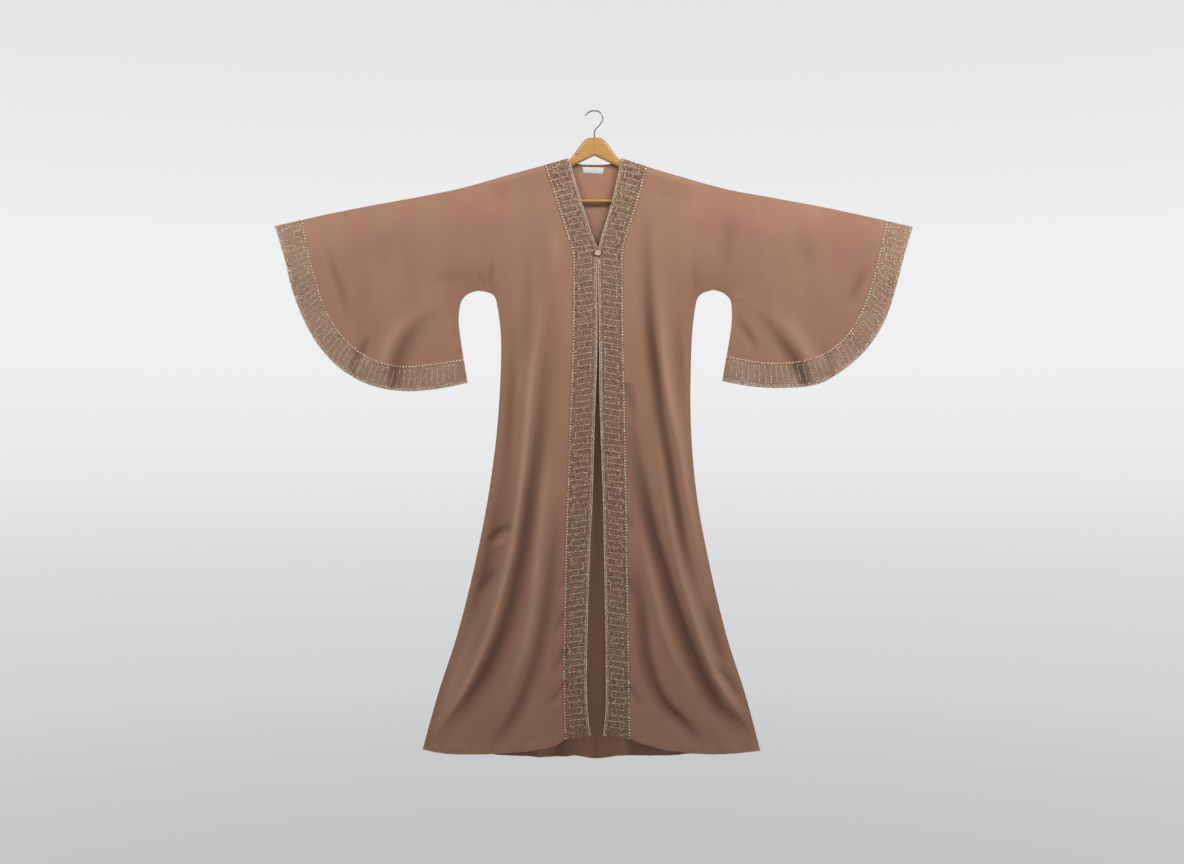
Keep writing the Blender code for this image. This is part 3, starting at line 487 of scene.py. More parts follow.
# Folds of the back, on the same plan but none the same
BACK_CREASES = (
    Crease(-10, 15, 20, ((-66, -220), (-78, -600), (-102, -950), (-130, -1400),
        (-140, -1740)), 0.55, 0.1),
    Crease(8.5, 20, 16, ((-116, -300), (-148, -800), (-188, -1150), (-300, -1740)), 0.5, 0.1),
    Crease(-9, 13, 18, ((-165, -360), (-203, -850), (-262, -1200), (-400, -1660)), 0.5, 0.1),
    Crease(-13, 50, 50, ((8, -400), (10, -800), (6, -1150), (4, -1800)), 0.55, 0.1, 0.2),
    Crease(-7, 16, 13, ((66, -300), (70, -900), (66, -1200), (84, -1740)), 0.6, 0.1),
    Crease(8.5, 16, 24, ((112, -280), (140, -750), (170, -1100), (255, -1760)), 0.5, 0.1),
    Crease(-10, 20, 13, ((152, -300), (195, -800), (255, -1150), (390, -1640)), 0.5, 0.1),
    Crease(-5.5, 12, 16, ((-196, -860), (-246, -1180), (-285, -1440), (-310, -1700)), 0.6, 0.1),
    Crease(5, 14, 18, ((-70, -800), (-84, -1150), (-86, -1400), (-90, -1760)), 0.6, 0.1),
    Crease(-5, 13, 14, ((112, -920), (148, -1240), (172, -1460), (184, -1740)), 0.6, 0.1),
    Crease(5, 16, 20, ((216, -900), (272, -1200), (345, -1460), (400, -1680)), 0.5, 0.1),
    Crease(-1.4, 26, 26, ((0, -180), (4, -300), (-2, -440)), 0.5, 0.5),
    Crease(-6.2, 18, 13, ((-310, -430), (-380, -476), (-440, -550), (-468, -640),
        (-474, -720)), 0.75, 0.1),
    Crease(4, 18, 22, ((-372, -430), (-460, -490), (-515, -600), (-530, -700)), 0.6, 0.1),
    Crease(-6.2, 13, 18, ((320, -430), (400, -490), (462, -570), (490, -650),
        (500, -720)), 0.75, 0.1),
    Crease(4, 22, 18, ((380, -430), (470, -510), (530, -620), (545, -700)), 0.6, 0.1),
    Crease(-2.4, 20, 16, ((-636, -280), (-608, -420), (-556, -560)), 0.5, 0.5),
    Crease(-2.4, 16, 20, ((640, -290), (604, -430), (560, -560)), 0.5, 0.5),
    Crease(-2.4, 7, 7, ((-254, -440), (-262, -395), (-264, -335)), 0.2, 0.75),
    Crease(-2.4, 7, 7, ((258, -440), (262, -400), (272, -330)), 0.2, 0.75),
    Crease(-1.8, 15, 15, ((-276, -426), (-330, -402), (-410, -412)), 0.4, 0.55),
    Crease(-1.8, 15, 15, ((280, -424), (335, -404), (415, -416)), 0.4, 0.55),
    Crease(-1.4, 36, 36, ((-214, -220), (-205, -330), (-215, -440)), 0.5, 0.5),
    Crease(-1.4, 36, 36, ((204, -220), (210, -340), (206, -460)), 0.5, 0.5),
)


@dataclass(frozen=True)
class Hollow:
    """How the front and the back stand apart between their seams."""

    tent_slope: float = 0.76
    tent_depth: float = 0.0078
    tent_full_x: float = 0.215
    tent_end_x: float = 0.290
    swell_reach: float = 0.100
    sleeve_depth: float = 0.0090
    sleeve_start_x: float = 0.26
    sleeve_full_x: float = 0.40
    least: float = 0.0022
    seam_gap: float = 0.00015
    tent_edge: float = 0.055
    fold_edge: float = 0.026
    heights: tuple[float, ...] = (-1.56, -1.00, -0.60, -0.30, -0.10)
    depths: tuple[float, ...] = (0.0250, 0.0190, 0.0140, 0.0105, 0.0080)

    def base(self, places: np.ndarray, to_top: np.ndarray, to_under: np.ndarray) -> np.ndarray:
        """The depth without folds: a tent over the hanger, then a slow swell."""
        out, z = np.abs(places[:, 0]), places[:, 1]
        full = np.interp(z, self.heights, self.depths)
        span = self.sleeve_full_x - self.sleeve_start_x
        sleeve = np.where(z > SLEEVE_BOTTOM_Z, rise((out - self.sleeve_start_x) / span), 0.0)
        full = full + (self.sleeve_depth - full) * sleeve
        share = np.minimum(np.minimum(to_top, to_under) / self.swell_reach, 1.0)
        swell = full * (1.0 - (1.0 - share) ** 2)
        fade = 1.0 - rise((out - self.tent_full_x) / (self.tent_end_x - self.tent_full_x))
        tent = np.minimum(self.tent_slope * to_top, self.tent_depth) * fade
        return np.maximum(swell, tent * rise(to_under / self.tent_edge))


@dataclass(frozen=True)
class Handle:
    """How lightly pressed crepe wavers between its folds, and puckers at its hem."""

    waver: float = 0.0007
    pucker: float = 0.0011
    pucker_reach: float = 0.026
    hem_turn: float = 0.0150
    hem_ease: float = 0.0035
    hem_lift: float = 0.0007

    def wavering(self, places: np.ndarray) -> np.ndarray:
        """A slow uneven waver, longer down the cloth than across it."""
        x, z = places.T
        wave = np.sin(41.0 * x + 7.0 * z + 1.3) + np.sin(67.0 * x - 12.0 * z + 0.4)
        wave += np.sin(23.0 * x + 31.0 * z + 2.2) + 0.6 * np.sin(97.0 * x + 19.0 * z)
        return self.waver * wave / 2.0

    def puckers(self, places: np.ndarray, to_hem: np.ndarray) -> np.ndarray:
        """The small uneven puckers along the stitched turn-up."""
        x = places[:, 0]
        wave = np.sin(151.0 * x) * np.sin(37.0 * x + 0.7) + 0.7 * np.sin(263.0 * x + 1.1)
        return self.pucker * wave * (1.0 - rise(to_hem / self.pucker_reach))


HOLLOW = Hollow()
HANDLE = Handle()

# Step that a layer's slope is measured over, and the height above the hem up to which the
# distance from it is worked out
SLOPE_STEP = 0.002
HEM_REACH = 0.05


class Measured(NamedTuple):
    """What a layer says at some points: its inner face, its stretch, and the fold heights that paint
    shade and highlight.
    """

    inner: np.ndarray
    stretch: np.ndarray
    folds: np.ndarray


class Layer:
    """The front or the back of the cloak, as a depth over the XZ plane."""

    def __init__(self, facing: Facing, creases: tuple[Crease, ...], hem: np.ndarray) -> None:
        """Keep the layer's folds and its hem line."""
        self.facing = facing
        self.creases = creases
        self.hem = hem

    def parts(self, places: np.ndarray) -> tuple[np.ndarray, np.ndarray]:
        """The inner face's distance from the middle plane, and the fold heights that paint shade and
        highlight on the cloth.
        """
        to_top = np.zeros(len(places))
        to_under = np.zeros(len(places))
        for side, cut in CUTS.items():
            here = (places[:, 0] < 0) == (side is Side.RIGHT)
            to_top[here] = near_line(places[here], cut.overarm_curve[::2]).away
            to_under[here] = near_line(places[here], cut.under[::2]).away
        to_seam = np.minimum(to_top, to_under)
        base = HOLLOW.base(places, to_top, to_under)
        fade = rise(to_seam / HOLLOW.fold_edge)
        heights = [fade * crease.height(places) for crease in self.creases]
        folds = np.sum(heights, axis=0)
        # The share of the folds painted into the cloth's colour, as shade in troughs and highlight on
        # ridges
        painted_folds = np.sum([c.paint * height for c, height in zip(self.creases, heights)], axis=0)
        fine = HANDLE.wavering(places) + HANDLE.puckers(places, self.to_hem(places))
        depth = base + folds + fine * fade
        return HOLLOW.seam_gap + np.maximum(depth, np.minimum(base, HOLLOW.least)), painted_folds

    def to_hem(self, places: np.ndarray) -> np.ndarray:
        """The distance to the hem, far from it just a large number."""
        away = np.full(len(places), 1.0)
        low = places[:, 1] < self.hem[:, 1].max() + HEM_REACH
        away[low] = near_line(places[low], self.hem).away
        return away

    def measure(self, places: np.ndarray) -> Measured:
        """The inner face, the stretch of a step along Y there, and the folds that paint shade and
        highlight.
        """
        inner, folds = self.parts(places)
        slope_x = (self.parts(places + (SLOPE_STEP, 0.0))[0] - inner) / SLOPE_STEP
        slope_z = (self.parts(places + (0.0, SLOPE_STEP))[0] - inner) / SLOPE_STEP
        return Measured(inner, np.sqrt(1.0 + slope_x ** 2 + slope_z ** 2), folds)

    def raised(self, places: np.ndarray, lift: np.ndarray | float,
               measured: Measured | None = None) -> np.ndarray:
        """Points of a surface that lies a lift above the inner face.

        Args:
            places: Points in the XZ plane.
            lift: The distance from the inner face, along its normal.
            measured: What measure() gave for these points, if it is known.

        Returns:
            The points in space.
        """
        known = measured or self.measure(places)
        y = self.facing.value * (known.inner + lift * known.stretch)
        return np.column_stack([places[:, 0], y, places[:, 1]])


# Thickness of the cloths, and the air between what is sewn on and its ground
CLOTH = 0.0012
BAND_CLOTH = 0.0012
LABEL_CLOTH = 0.0008
BINDING_CLOTH = 0.0009
GAP = 0.0003

FRONT_HEM_LINE = chain(CUTS[Side.RIGHT].hem,
                       np.array([CUTS[side].band_outer[-1] for side in Side]),
                       CUTS[Side.LEFT].hem[::-1])
BACK_HEM_LINE = through(metres(BACK_HEM))
BACK_NECK_LINE = through(metres(BACK_NECK))
FRONT = Layer(Facing.FRONT, FRONT_CREASES, FRONT_HEM_LINE)
BACK = Layer(Facing.BACK, BACK_CREASES, BACK_HEM_LINE)


def new_node(tree: bpy.types.NodeTree, kind: str, **settings: object) -> bpy.types.Node:
    """A node of a tree.

    Args:
        tree: The tree that gets the node.
        kind: Blender's name of the node's type.
        settings: Properties of the node; a name that starts with "in_" sets the input
            of that number or, with underscores for spaces, of that name.

    Returns:
        The node.
    """
    node = tree.nodes.new(kind)
    for name, value in settings.items():
        if name.startswith("in_"):
            key = name[3:]
            socket = node.inputs[int(key)] if key.isdigit() else node.inputs[key.replace("_", " ")]
            socket.default_value = value
        else:
            setattr(node, name, value)
    return node


class Shader:
    """A material's tree, with its Principled shader and short ways to add to it."""

    def __init__(self, name: str, roughness: float, **inputs: object) -> None:
        """Start a material; the other inputs are the shader's, underscores for spaces."""
        self.material = bpy.data.materials.new(name)
        self.material.use_nodes = True
        self.tree = self.material.node_tree
        self.shader = self.tree.nodes["Principled BSDF"]
        self.shader.inputs["Roughness"].default_value = roughness
        for key, value in inputs.items():
            self.shader.inputs[key.replace("_", " ")].default_value = value

    def add(self, kind: str, **settings: object) -> bpy.types.Node:
        """Add a node to the tree."""
        return new_node(self.tree, kind, **settings)

    def link(self, start: Socket, end: Socket) -> None:
        """Join two sockets."""
        self.tree.links.new(start, end)

    def object_place(self, scale: Colour = (1.0, 1.0, 1.0),
                     shift: Colour = (0.0, 0.0, 0.0)) -> Socket:
        """Object coordinates, scaled and shifted."""
        place = self.add("ShaderNodeTexCoord")
        mapping = self.add("ShaderNodeMapping", in_Scale=scale, in_Location=shift)
        self.link(place.outputs["Object"], mapping.inputs["Vector"])
        return mapping.outputs["Vector"]

    def noise(self, place: Socket, scale: float, detail: float = 2.0, rough: float = 0.5) -> Socket:
        """A noise that runs from 0 to 1."""
        node = self.add("ShaderNodeTexNoise", in_Scale=scale, in_Detail=detail,
                        in_Roughness=rough)
        self.link(place, node.inputs["Vector"])
        return node.outputs["Fac"]

    def remap(self, value: Socket, low: float, high: float, to_low: float, to_high: float) -> Socket:
        """A value carried from one range to another, held at the ends."""
        node = self.add("ShaderNodeMapRange", in_1=low, in_2=high, in_3=to_low, in_4=to_high)
        self.link(value, node.inputs["Value"])
        return node.outputs["Result"]

    def wave(self, place: Socket, axis: str, scale: float, distortion: float,
             **settings: object) -> Socket:
        """Waves that follow each other along an axis, from 0 to 1."""
        node = self.add("ShaderNodeTexWave", bands_direction=axis, in_Scale=scale,
                        in_Distortion=distortion, **settings)
        self.link(place, node.inputs["Vector"])
        return node.outputs["Fac"]

    def mix(self, share: Socket | float, first: Socket | Colour, second: Socket | Colour,
            blend: str = "MIX") -> Socket:
        """A mix of two colours."""
        node = self.add("ShaderNodeMix", data_type="RGBA", blend_type=blend)
        for socket, value in zip([s for s in node.inputs if s.enabled], (share, first, second)):
            if isinstance(value, Socket):
                self.link(value, socket)
            else:
                socket.default_value = value if isinstance(value, float) else (*value, 1.0)
        return next(s for s in node.outputs if s.enabled)

    def over(self, colour: Socket | Colour, other: Colour, value: Socket, *span: float) -> Socket:
        """A colour with another over it, as much as a value carried to another range says."""
        return self.mix(self.remap(value, *span), colour, other)

    def math(self, operation: str, first: Socket, second: Socket | float = 0.0) -> Socket:
        """Two values joined by the named operation."""
        node = self.add("ShaderNodeMath", operation=operation)
        self.link(first, node.inputs[0])
        if isinstance(second, float):
            node.inputs[1].default_value = second
        else:
            self.link(second, node.inputs[1])
        return node.outputs["Value"]

    def attribute(self, name: str) -> Socket:
        """The value that a mesh stores under a name."""
        return self.add("ShaderNodeAttribute", attribute_name=name).outputs["Fac"]

    def ramp(self, value: Socket, stops: Iterable[tuple[float, Colour]],
             constant: bool = False) -> Socket:
        """A colour picked by a value, from a ramp with the given stops."""
        node = self.add("ShaderNodeValToRGB")
        ramp = node.color_ramp
        ramp.interpolation = "CONSTANT" if constant else "EASE"
        for number, (place, colour) in enumerate(stops):
            stop = ramp.elements[number] if number < 2 else ramp.elements.new(place)
            stop.position = place
            stop.color = (*colour, 1.0)
        self.link(value, node.inputs["Fac"])
        return node.outputs["Color"]

    def bump(self, height: Socket, distance: float, strength: float,
             under: Socket | None = None) -> Socket:
        """A bump of a height, over another bump where one is given."""
        node = self.add("ShaderNodeBump", in_Distance=distance, in_Strength=strength)
        self.link(height, node.inputs["Height"])
        if under is not None:
            self.link(under, node.inputs["Normal"])
        return node.outputs["Normal"]

    def finish(self, colour: Socket | None = None, normal: Socket | None = None,
               roughness: Socket | None = None) -> Material:
        """Join the last sockets to the shader, and give the material."""
        for socket, name in ((colour, "Base Color"), (normal, "Normal"), (roughness, "Roughness")):
            if socket is not None:
                self.link(socket, self.shader.inputs[name])
        return self.material


@dataclass(frozen=True)
class SatinCrepe:
    """The cloak's cloth: smooth brown crepe with a soft satin face."""

    tan: Colour = (0.448, 0.238, 0.150)
    rose: Colour = (0.430, 0.212, 0.140)
    # Painted shade in the fold troughs, painted highlight on the ridges, and a paler colour painted
    # on the inner sheet as painted light where it lies in shade
    fold: Colour = (0.098, 0.038, 0.024)
    crest: Colour = (0.660, 0.385, 0.262)
    reverse: Colour = (0.600, 0.330, 0.222)
    patch: Colour = (0.380, 0.200, 0.128)
    deepest: float = 0.0095
    highest: float = 0.0065
    grain: float = 1500.0

    def make(self) -> Material:
        """Make the material."""
        shader = Shader("satin crepe", 0.46, Sheen_Weight=0.08, Sheen_Roughness=0.42,
                        Sheen_Tint=(1.0, 0.72, 0.58, 1.0), Specular_IOR_Level=0.30,
                        Specular_Tint=(1.0, 0.86, 0.76, 1.0))
        place = shader.object_place()
        streaks = shader.noise(shader.object_place((1.0, 1.0, 0.16)), 17.0, 3.0, 0.55)
        patches = shader.noise(place, 5.0, 2.0)
        folds = shader.attribute("fold")
        colour = shader.over(self.tan, self.rose, streaks, 0.38, 0.62, 0.0, 1.0)
        colour = shader.over(colour, self.patch, patches, 0.35, 0.65, 0.0, 0.35)
        # Painted light on the inner sheet, then painted shade in the fold troughs and painted
        # highlight on the ridges
        colour = shader.over(colour, self.reverse, shader.attribute("inside"), 0.0, 1.0, 0.0, 0.25)
        colour = shader.over(colour, self.fold, folds, -self.deepest, -0.0003, 0.78, 0.0)
        colour = shader.over(colour, self.crest, folds, 0.0003, self.highest, 0.0, 0.60)
        grain = shader.noise(place, self.grain, 2.0, 0.7)
        speck = shader.remap(grain, 0.3, 0.7, 0.93, 1.06)
        colour = shader.mix(1.0, colour, speck, "MULTIPLY")
        ribs = shader.wave(place, "Z", 620.0, 2.2, in_Detail=1.0)
        soft = shader.bump(shader.noise(place, 120.0, 3.0), 0.0006, 0.35)
        woven = shader.bump(ribs, 0.00012, 0.5, soft)
        normal = shader.bump(grain, 0.00018, 0.6, woven)
        rough = shader.remap(shader.noise(place, 40.0, 2.0), 0.3, 0.7, 0.42, 0.54)
        return shader.finish(colour, normal, rough)


@dataclass(frozen=True)
class SpeckledBraid:
    """The ground of the bands: close stitches of many browns with light flecks."""

    name: str = "speckled braid"
    ground: Colour = (0.290, 0.180, 0.118)
    least_ground: float = 0.15
    furrow: Colour = (0.140, 0.075, 0.055)
    shadow: Colour = (0.070, 0.034, 0.024)
    cell: float = 0.0022
    deepest: float = 0.0085
    browns: tuple[Colour, ...] = ((0.090, 0.042, 0.026), (0.220, 0.118, 0.072),
                                  (0.360, 0.208, 0.130), (0.290, 0.182, 0.100),
                                  (0.480, 0.268, 0.168), (0.920, 0.640, 0.440))
    steps: tuple[float, ...] = (0.0, 0.22, 0.45, 0.64, 0.78, 0.93)

    def make(self) -> Material:
        """Make the material."""
        shader = Shader(self.name, 0.72, Specular_IOR_Level=0.25)
        uv = shader.add("ShaderNodeUVMap", uv_map="Along")
        cells = shader.add("ShaderNodeTexVoronoi", in_Scale=1.0 / self.cell, in_Randomness=0.85)
        shader.link(uv.outputs["UV"], cells.inputs["Vector"])
        split = shader.add("ShaderNodeSeparateColor")
        shader.link(cells.outputs["Color"], split.inputs["Color"])
        colour = shader.ramp(split.outputs["Red"], zip(self.steps, self.browns), True)
        rows = shader.wave(uv.outputs["UV"], "X", 1.0 / (self.cell * 9), 1.4, in_Detail=1.0)
        colour = shader.over(colour, self.furrow, rows, 0.0, 0.4, 0.30, 0.0)
        drift = shader.noise(uv.outputs["UV"], 14.0, 2.0)
        lowest = self.least_ground
        colour = shader.over(colour, self.ground, drift, 0.35, 0.65, lowest, lowest + 0.30)
        folds = shader.attribute("fold")
        colour = shader.over(colour, self.shadow, folds, -self.deepest, -0.0003, 0.75, 0.0)
        knots = shader.bump(shader.remap(cells.outputs["Distance"], 0.0, 0.7, 1.0, 0.0), 0.0005, 0.8)
        return shader.finish(colour, shader.bump(rows, 0.0003, 0.4, knots))


@dataclass(frozen=True)
class Beadwork:
    """Small pale beads and thick stitches, each a little different."""

    name: str
    dull: Colour
    usual: Colour
    bright: Colour
    roughness: float = 0.34

    def make(self) -> Material:
        """Make the material."""
        shader = Shader(self.name, self.roughness, Specular_IOR_Level=0.55,
                        Coat_Weight=0.15, Coat_Roughness=0.2)
        tint = shader.attribute("tint")
        colour = shader.ramp(tint, ((0.0, self.dull), (0.35, self.usual), (0.8, self.usual),
                                    (1.0, self.bright)))
        fine = shader.noise(shader.object_place(), 2200.0, 1.0)
        return shader.finish(colour, shader.bump(fine, 0.00008, 0.5))


@dataclass(frozen=True)
class WovenTape:
    """A narrow woven tape or label, with fine ribs."""

    name: str
    colour: Colour
    shade: Colour
    rib: float = 1900.0

    def make(self) -> Material:
        """Make the material."""
        shader = Shader(self.name, 0.74, Sheen_Weight=0.25)
        place = shader.object_place()
        weave = shader.math("MULTIPLY", shader.wave(place, "X", self.rib / 6.0, 0.6),
                            shader.wave(place, "Z", self.rib / 5.0, 0.6))
        worn = shader.noise(place, 90.0, 3.0)
        colour = shader.over(self.colour, self.shade, weave, 0.0, 0.6, 0.5, 0.0)
        colour = shader.over(colour, self.shade, worn, 0.45, 0.75, 0.0, 0.35)
        return shader.finish(colour, shader.bump(weave, 0.0002, 0.6))


@dataclass(frozen=True)
class TwistedCord:
    """A twisted cord, coloured along its strands, with painted shade in the valleys between them."""

    name: str
    light: Colour
    dark: Colour

    def make(self) -> Material:
        """Make the material."""
        shader = Shader(self.name, 0.7, Sheen_Weight=0.3)
        # Painted shade: dark in the valleys between the strands, the cord's own colour on their
        # crests
        strand = shader.attribute("strand")
        colour = shader.ramp(strand, ((0.0, self.dark), (1.0, self.light)))
        fibre = shader.noise(shader.object_place(), 2600.0, 3.0)
        return shader.finish(colour, shader.bump(fibre, 0.0001, 0.6))


@dataclass(frozen=True)
class CreamHorn:
    """The button: polished cream horn with faint cloudy bands."""

    cream: Colour = (0.760, 0.580, 0.370)
    cloud: Colour = (0.560, 0.380, 0.220)

    def make(self) -> Material:
        """Make the material."""
        shader = Shader("cream horn", 0.30, Coat_Weight=0.3, Coat_Roughness=0.15)
        place = shader.object_place((1.0, 1.0, 2.2))
        cloudy = shader.noise(place, 190.0, 4.0, 0.6)
        colour = shader.over(self.cream, self.cloud, cloudy, 0.42, 0.66, 0.0, 0.8)
        scratches = shader.noise(place, 1600.0, 2.0)
        return shader.finish(colour, shader.bump(scratches, 0.00004, 0.4),
                             shader.remap(cloudy, 0.3, 0.7, 0.24, 0.38))


@dataclass(frozen=True)
class HoneyWood:
    """Varnished honey-coloured wood, its grain along the hanger."""

    light: Colour = (0.640, 0.345, 0.085)
    dark: Colour = (0.470, 0.215, 0.045)
    knot: Colour = (0.075, 0.030, 0.012)
    knot_at: Point2 = (-0.0425, -0.1037)
    knot_scale: Point2 = (130.0, 420.0)
    join: float = 0.00035

    def make(self) -> Material:
        """Make the material."""
        shader = Shader("honey wood", 0.34, Coat_Weight=0.35, Coat_Roughness=0.22)
        along = shader.object_place((0.22, 1.0, 1.0))
        rings = shader.wave(along, "Z", 58.0, 9.0, in_Detail=3.0, in_Detail_Scale=1.6)
        fibre = shader.noise(shader.object_place((0.06, 1.0, 1.0)), 900.0, 3.0, 0.6)
        colour = shader.over(self.light, self.dark, rings, 0.25, 0.9, 0.0, 0.55)
        colour = shader.over(colour, self.dark, fibre, 0.5, 0.75, 0.0, 0.35)
        x, z = self.knot_at
        wide, high = self.knot_scale
        knot_place = shader.object_place((wide, 0.0, high), (-x * wide, 0.0, -z * high))
        ball = shader.add("ShaderNodeVectorMath", operation="LENGTH")
        shader.link(knot_place, ball.inputs[0])
        colour = shader.over(colour, self.knot, ball.outputs["Value"], 0.35, 0.9, 0.85, 0.0)
        split = shader.add("ShaderNodeSeparateXYZ")
        shader.link(shader.object_place(), split.inputs["Vector"])
        middle = shader.math("ABSOLUTE", split.outputs["X"])
        colour = shader.over(colour, self.knot, middle, self.join * 0.5, self.join * 1.4, 0.6, 0.0)
        return shader.finish(colour, shader.bump(fibre, 0.00012, 0.5),
                             shader.remap(rings, 0.0, 1.0, 0.30, 0.42))


@dataclass(frozen=True)
class BrightWire:
    """The hook's plated steel wire."""

    steel: Colour = (0.210, 0.215, 0.225)
    tarnish: Colour = (0.120, 0.118, 0.120)

    def make(self) -> Material:
        """Make the material."""
        shader = Shader("bright wire", 0.22, Metallic=1.0)
        drawn = shader.noise(shader.object_place((1.0, 1.0, 0.1)), 2400.0, 2.0)
        worn = shader.noise(shader.object_place(), 160.0, 3.0)
        colour = shader.over(self.steel, self.tarnish, worn, 0.5, 0.8, 0.0, 0.5)
        return shader.finish(colour, shader.bump(drawn, 0.00003, 0.5),
                             shader.remap(worn, 0.3, 0.8, 0.16, 0.40))


@dataclass(frozen=True)
class StudioPaper:
    """The seamless studio paper, which glows unevenly as painted light, brighter on the wall than on
    the floor.
    """

    base: Colour = (0.060, 0.060, 0.061)
    dim: Colour = (0.000, 0.000, 0.000)
    full: Colour = (0.990, 1.000, 1.004)

    def make(self) -> Material:
        """Make the material, which glows as bright as the mesh's "light" says."""
        shader = Shader("studio paper", 0.9, Specular_IOR_Level=0.1, Emission_Strength=1.0)
        shader.shader.inputs["Base Color"].default_value = (*self.base, 1.0)
        colour = shader.mix(shader.attribute("light"), self.dim, self.full)
        shader.link(colour, shader.shader.inputs["Emission Color"])
        return shader.finish()


def linked(name: str, mesh: Mesh, finish: Material | None = None) -> Piece:
    """A named object of a mesh, with its finish."""
    piece = bpy.data.objects.new(name, mesh)
    if finish is not None:
        mesh.materials.clear()
        mesh.materials.append(finish)
    bpy.context.scene.collection.objects.link(piece)
    return piece


def hang(piece: Piece, slot: str, *nodes: str) -> Piece:
    """Let a piece ride with the cloak, in place of the frame's nodes.

    Args:
        piece: The finished piece.
        slot: Not used.
        nodes: The nodes that it stands for.

    Returns:
        The piece.
    """
    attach(piece, BODY)
    if nodes:
        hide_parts(*nodes)
    triangles = sum(len(face.vertices) - 2 for face in piece.data.polygons)
    LOG.info("%s: %d triangles", piece.name, triangles)
    return piece


def mesh_of(name: str, points: np.ndarray, faces: Faces, sharp: float = 50.0) -> Mesh:
    """A smooth mesh with the edges over an angle kept sharp."""
    mesh = bpy.data.meshes.new(name)
    mesh.from_pydata(points.tolist(), [], faces)
    mesh.shade_smooth()
    mesh.set_sharp_from_angle(angle=math.radians(sharp))
    return mesh


def grid(rows: int, columns: int, closed: bool = False) -> Faces:
    """The quads between rows of points, which may each be a closed ring."""
    return [(i * columns + j, i * columns + (j + 1) % columns,
             (i + 1) * columns + (j + 1) % columns, (i + 1) * columns + j)
            for i in range(rows - 1) for j in range(columns if closed else columns - 1)]


def recalculate(mesh: Mesh) -> None:
    """Turn a closed mesh's faces outwards."""
    shape = bmesh.new()
    shape.from_mesh(mesh)
    bmesh.ops.recalc_face_normals(shape, faces=shape.faces)
    shape.to_mesh(mesh)
    shape.free()


def capped(name: str, rings: np.ndarray, tips: np.ndarray) -> Mesh:
    """A closed mesh of rings of points, with a fan of faces to a tip at each end."""
    count, sides = rings.shape[:2]
    start, last = count * sides, (count - 1) * sides
    faces = grid(count, sides, True)
    faces += [(start, (j + 1) % sides, j) for j in range(sides)]
    faces += [(start + 1, last + j, last + (j + 1) % sides) for j in range(sides)]
    mesh = mesh_of(name, np.vstack([rings.reshape(-1, 3), tips]), faces, 60.0)
    recalculate(mesh)
    return mesh


def store(mesh: Mesh, name: str, values: np.ndarray) -> None:
    """Keep a value for each point of a mesh under a name."""
    mesh.attributes.new(name, "FLOAT", "POINT").data.foreach_set("value", values.astype(np.float32))


def store_uv(mesh: Mesh, name: str, places: np.ndarray) -> None:
    """Give a mesh a UV map from a place for each of its points."""
    corners = np.zeros(len(mesh.loops), np.int32)
    mesh.loops.foreach_get("vertex_index", corners)
    mesh.uv_layers.new(name=name).data.foreach_set("uv", places[corners].astype(np.float32).ravel())


def wall(name: str, facing: Facing, outer: np.ndarray, inner: np.ndarray, faces: Faces) -> Mesh:
    """A closed wall between two sheets of like points.

    Args:
        name: Name of the mesh.
        facing: Which way the outer sheet faces.
        outer: Points of the outer sheet.
        inner: Points of the inner sheet.
        faces: Faces of the sheet that faces -Y, turned to face it.

    Returns:
        The mesh of both sheets and the rim between them.
    """
    sheets = (outer, inner) if facing is Facing.FRONT else (inner, outer)
    count = len(outer)
    both: Faces = []
    rim: dict[tuple[int, int], None] = {}
    for face in faces:
        both.append(tuple(face))
        both.append(tuple(i + count for i in reversed(face)))
        for edge in zip(face, (*face[1:], face[0])):
            if edge[::-1] in rim:
                del rim[edge[::-1]]
            else:
                rim[edge] = None
    both.extend((b, a, a + count, b + count) for a, b in rim)
    return mesh_of(name, np.vstack(sheets), both)


def to_front(places: np.ndarray, face: tuple[int, ...]) -> bool:
    """Whether a face, laid out in the XZ plane, is turned towards -Y."""
    (ax, az), (bx, bz), (cx, cz) = (places[i] for i in face[:3])
    return (bx - ax) * (cz - az) - (bz - az) * (cx - ax) > 0


def clear_of(places: np.ndarray, edge: np.ndarray, margin: float) -> np.ndarray:
    """Which points are further than a margin from every point of an edge."""
    tree = KDTree(len(edge))
    for number, (x, z) in enumerate(edge):
        tree.insert((x, z, 0.0), number)
    tree.balance()
    return np.array([tree.find((x, z, 0.0))[2] > margin for x, z in places])


def lattice(outline: np.ndarray) -> np.ndarray:
    """Staggered rows of points inside an outline, clear of its edge."""
    low, high = outline.min(0), outline.max(0)
    row_step = LATTICE_STEP * math.sqrt(3.0) / 2.0
    rows = []
    for number, z in enumerate(np.arange(high[1], low[1], -row_step)):
        x = np.arange(low[0] + 0.5 * (number % 2) * LATTICE_STEP, high[0], LATTICE_STEP)
        rows.append(np.column_stack([x, np.full(len(x), z)]))
    places = np.vstack(rows)
    places = places[inside(places, outline)]
    return places[clear_of(places, outline, EDGE_CLEARANCE * LATTICE_STEP)]


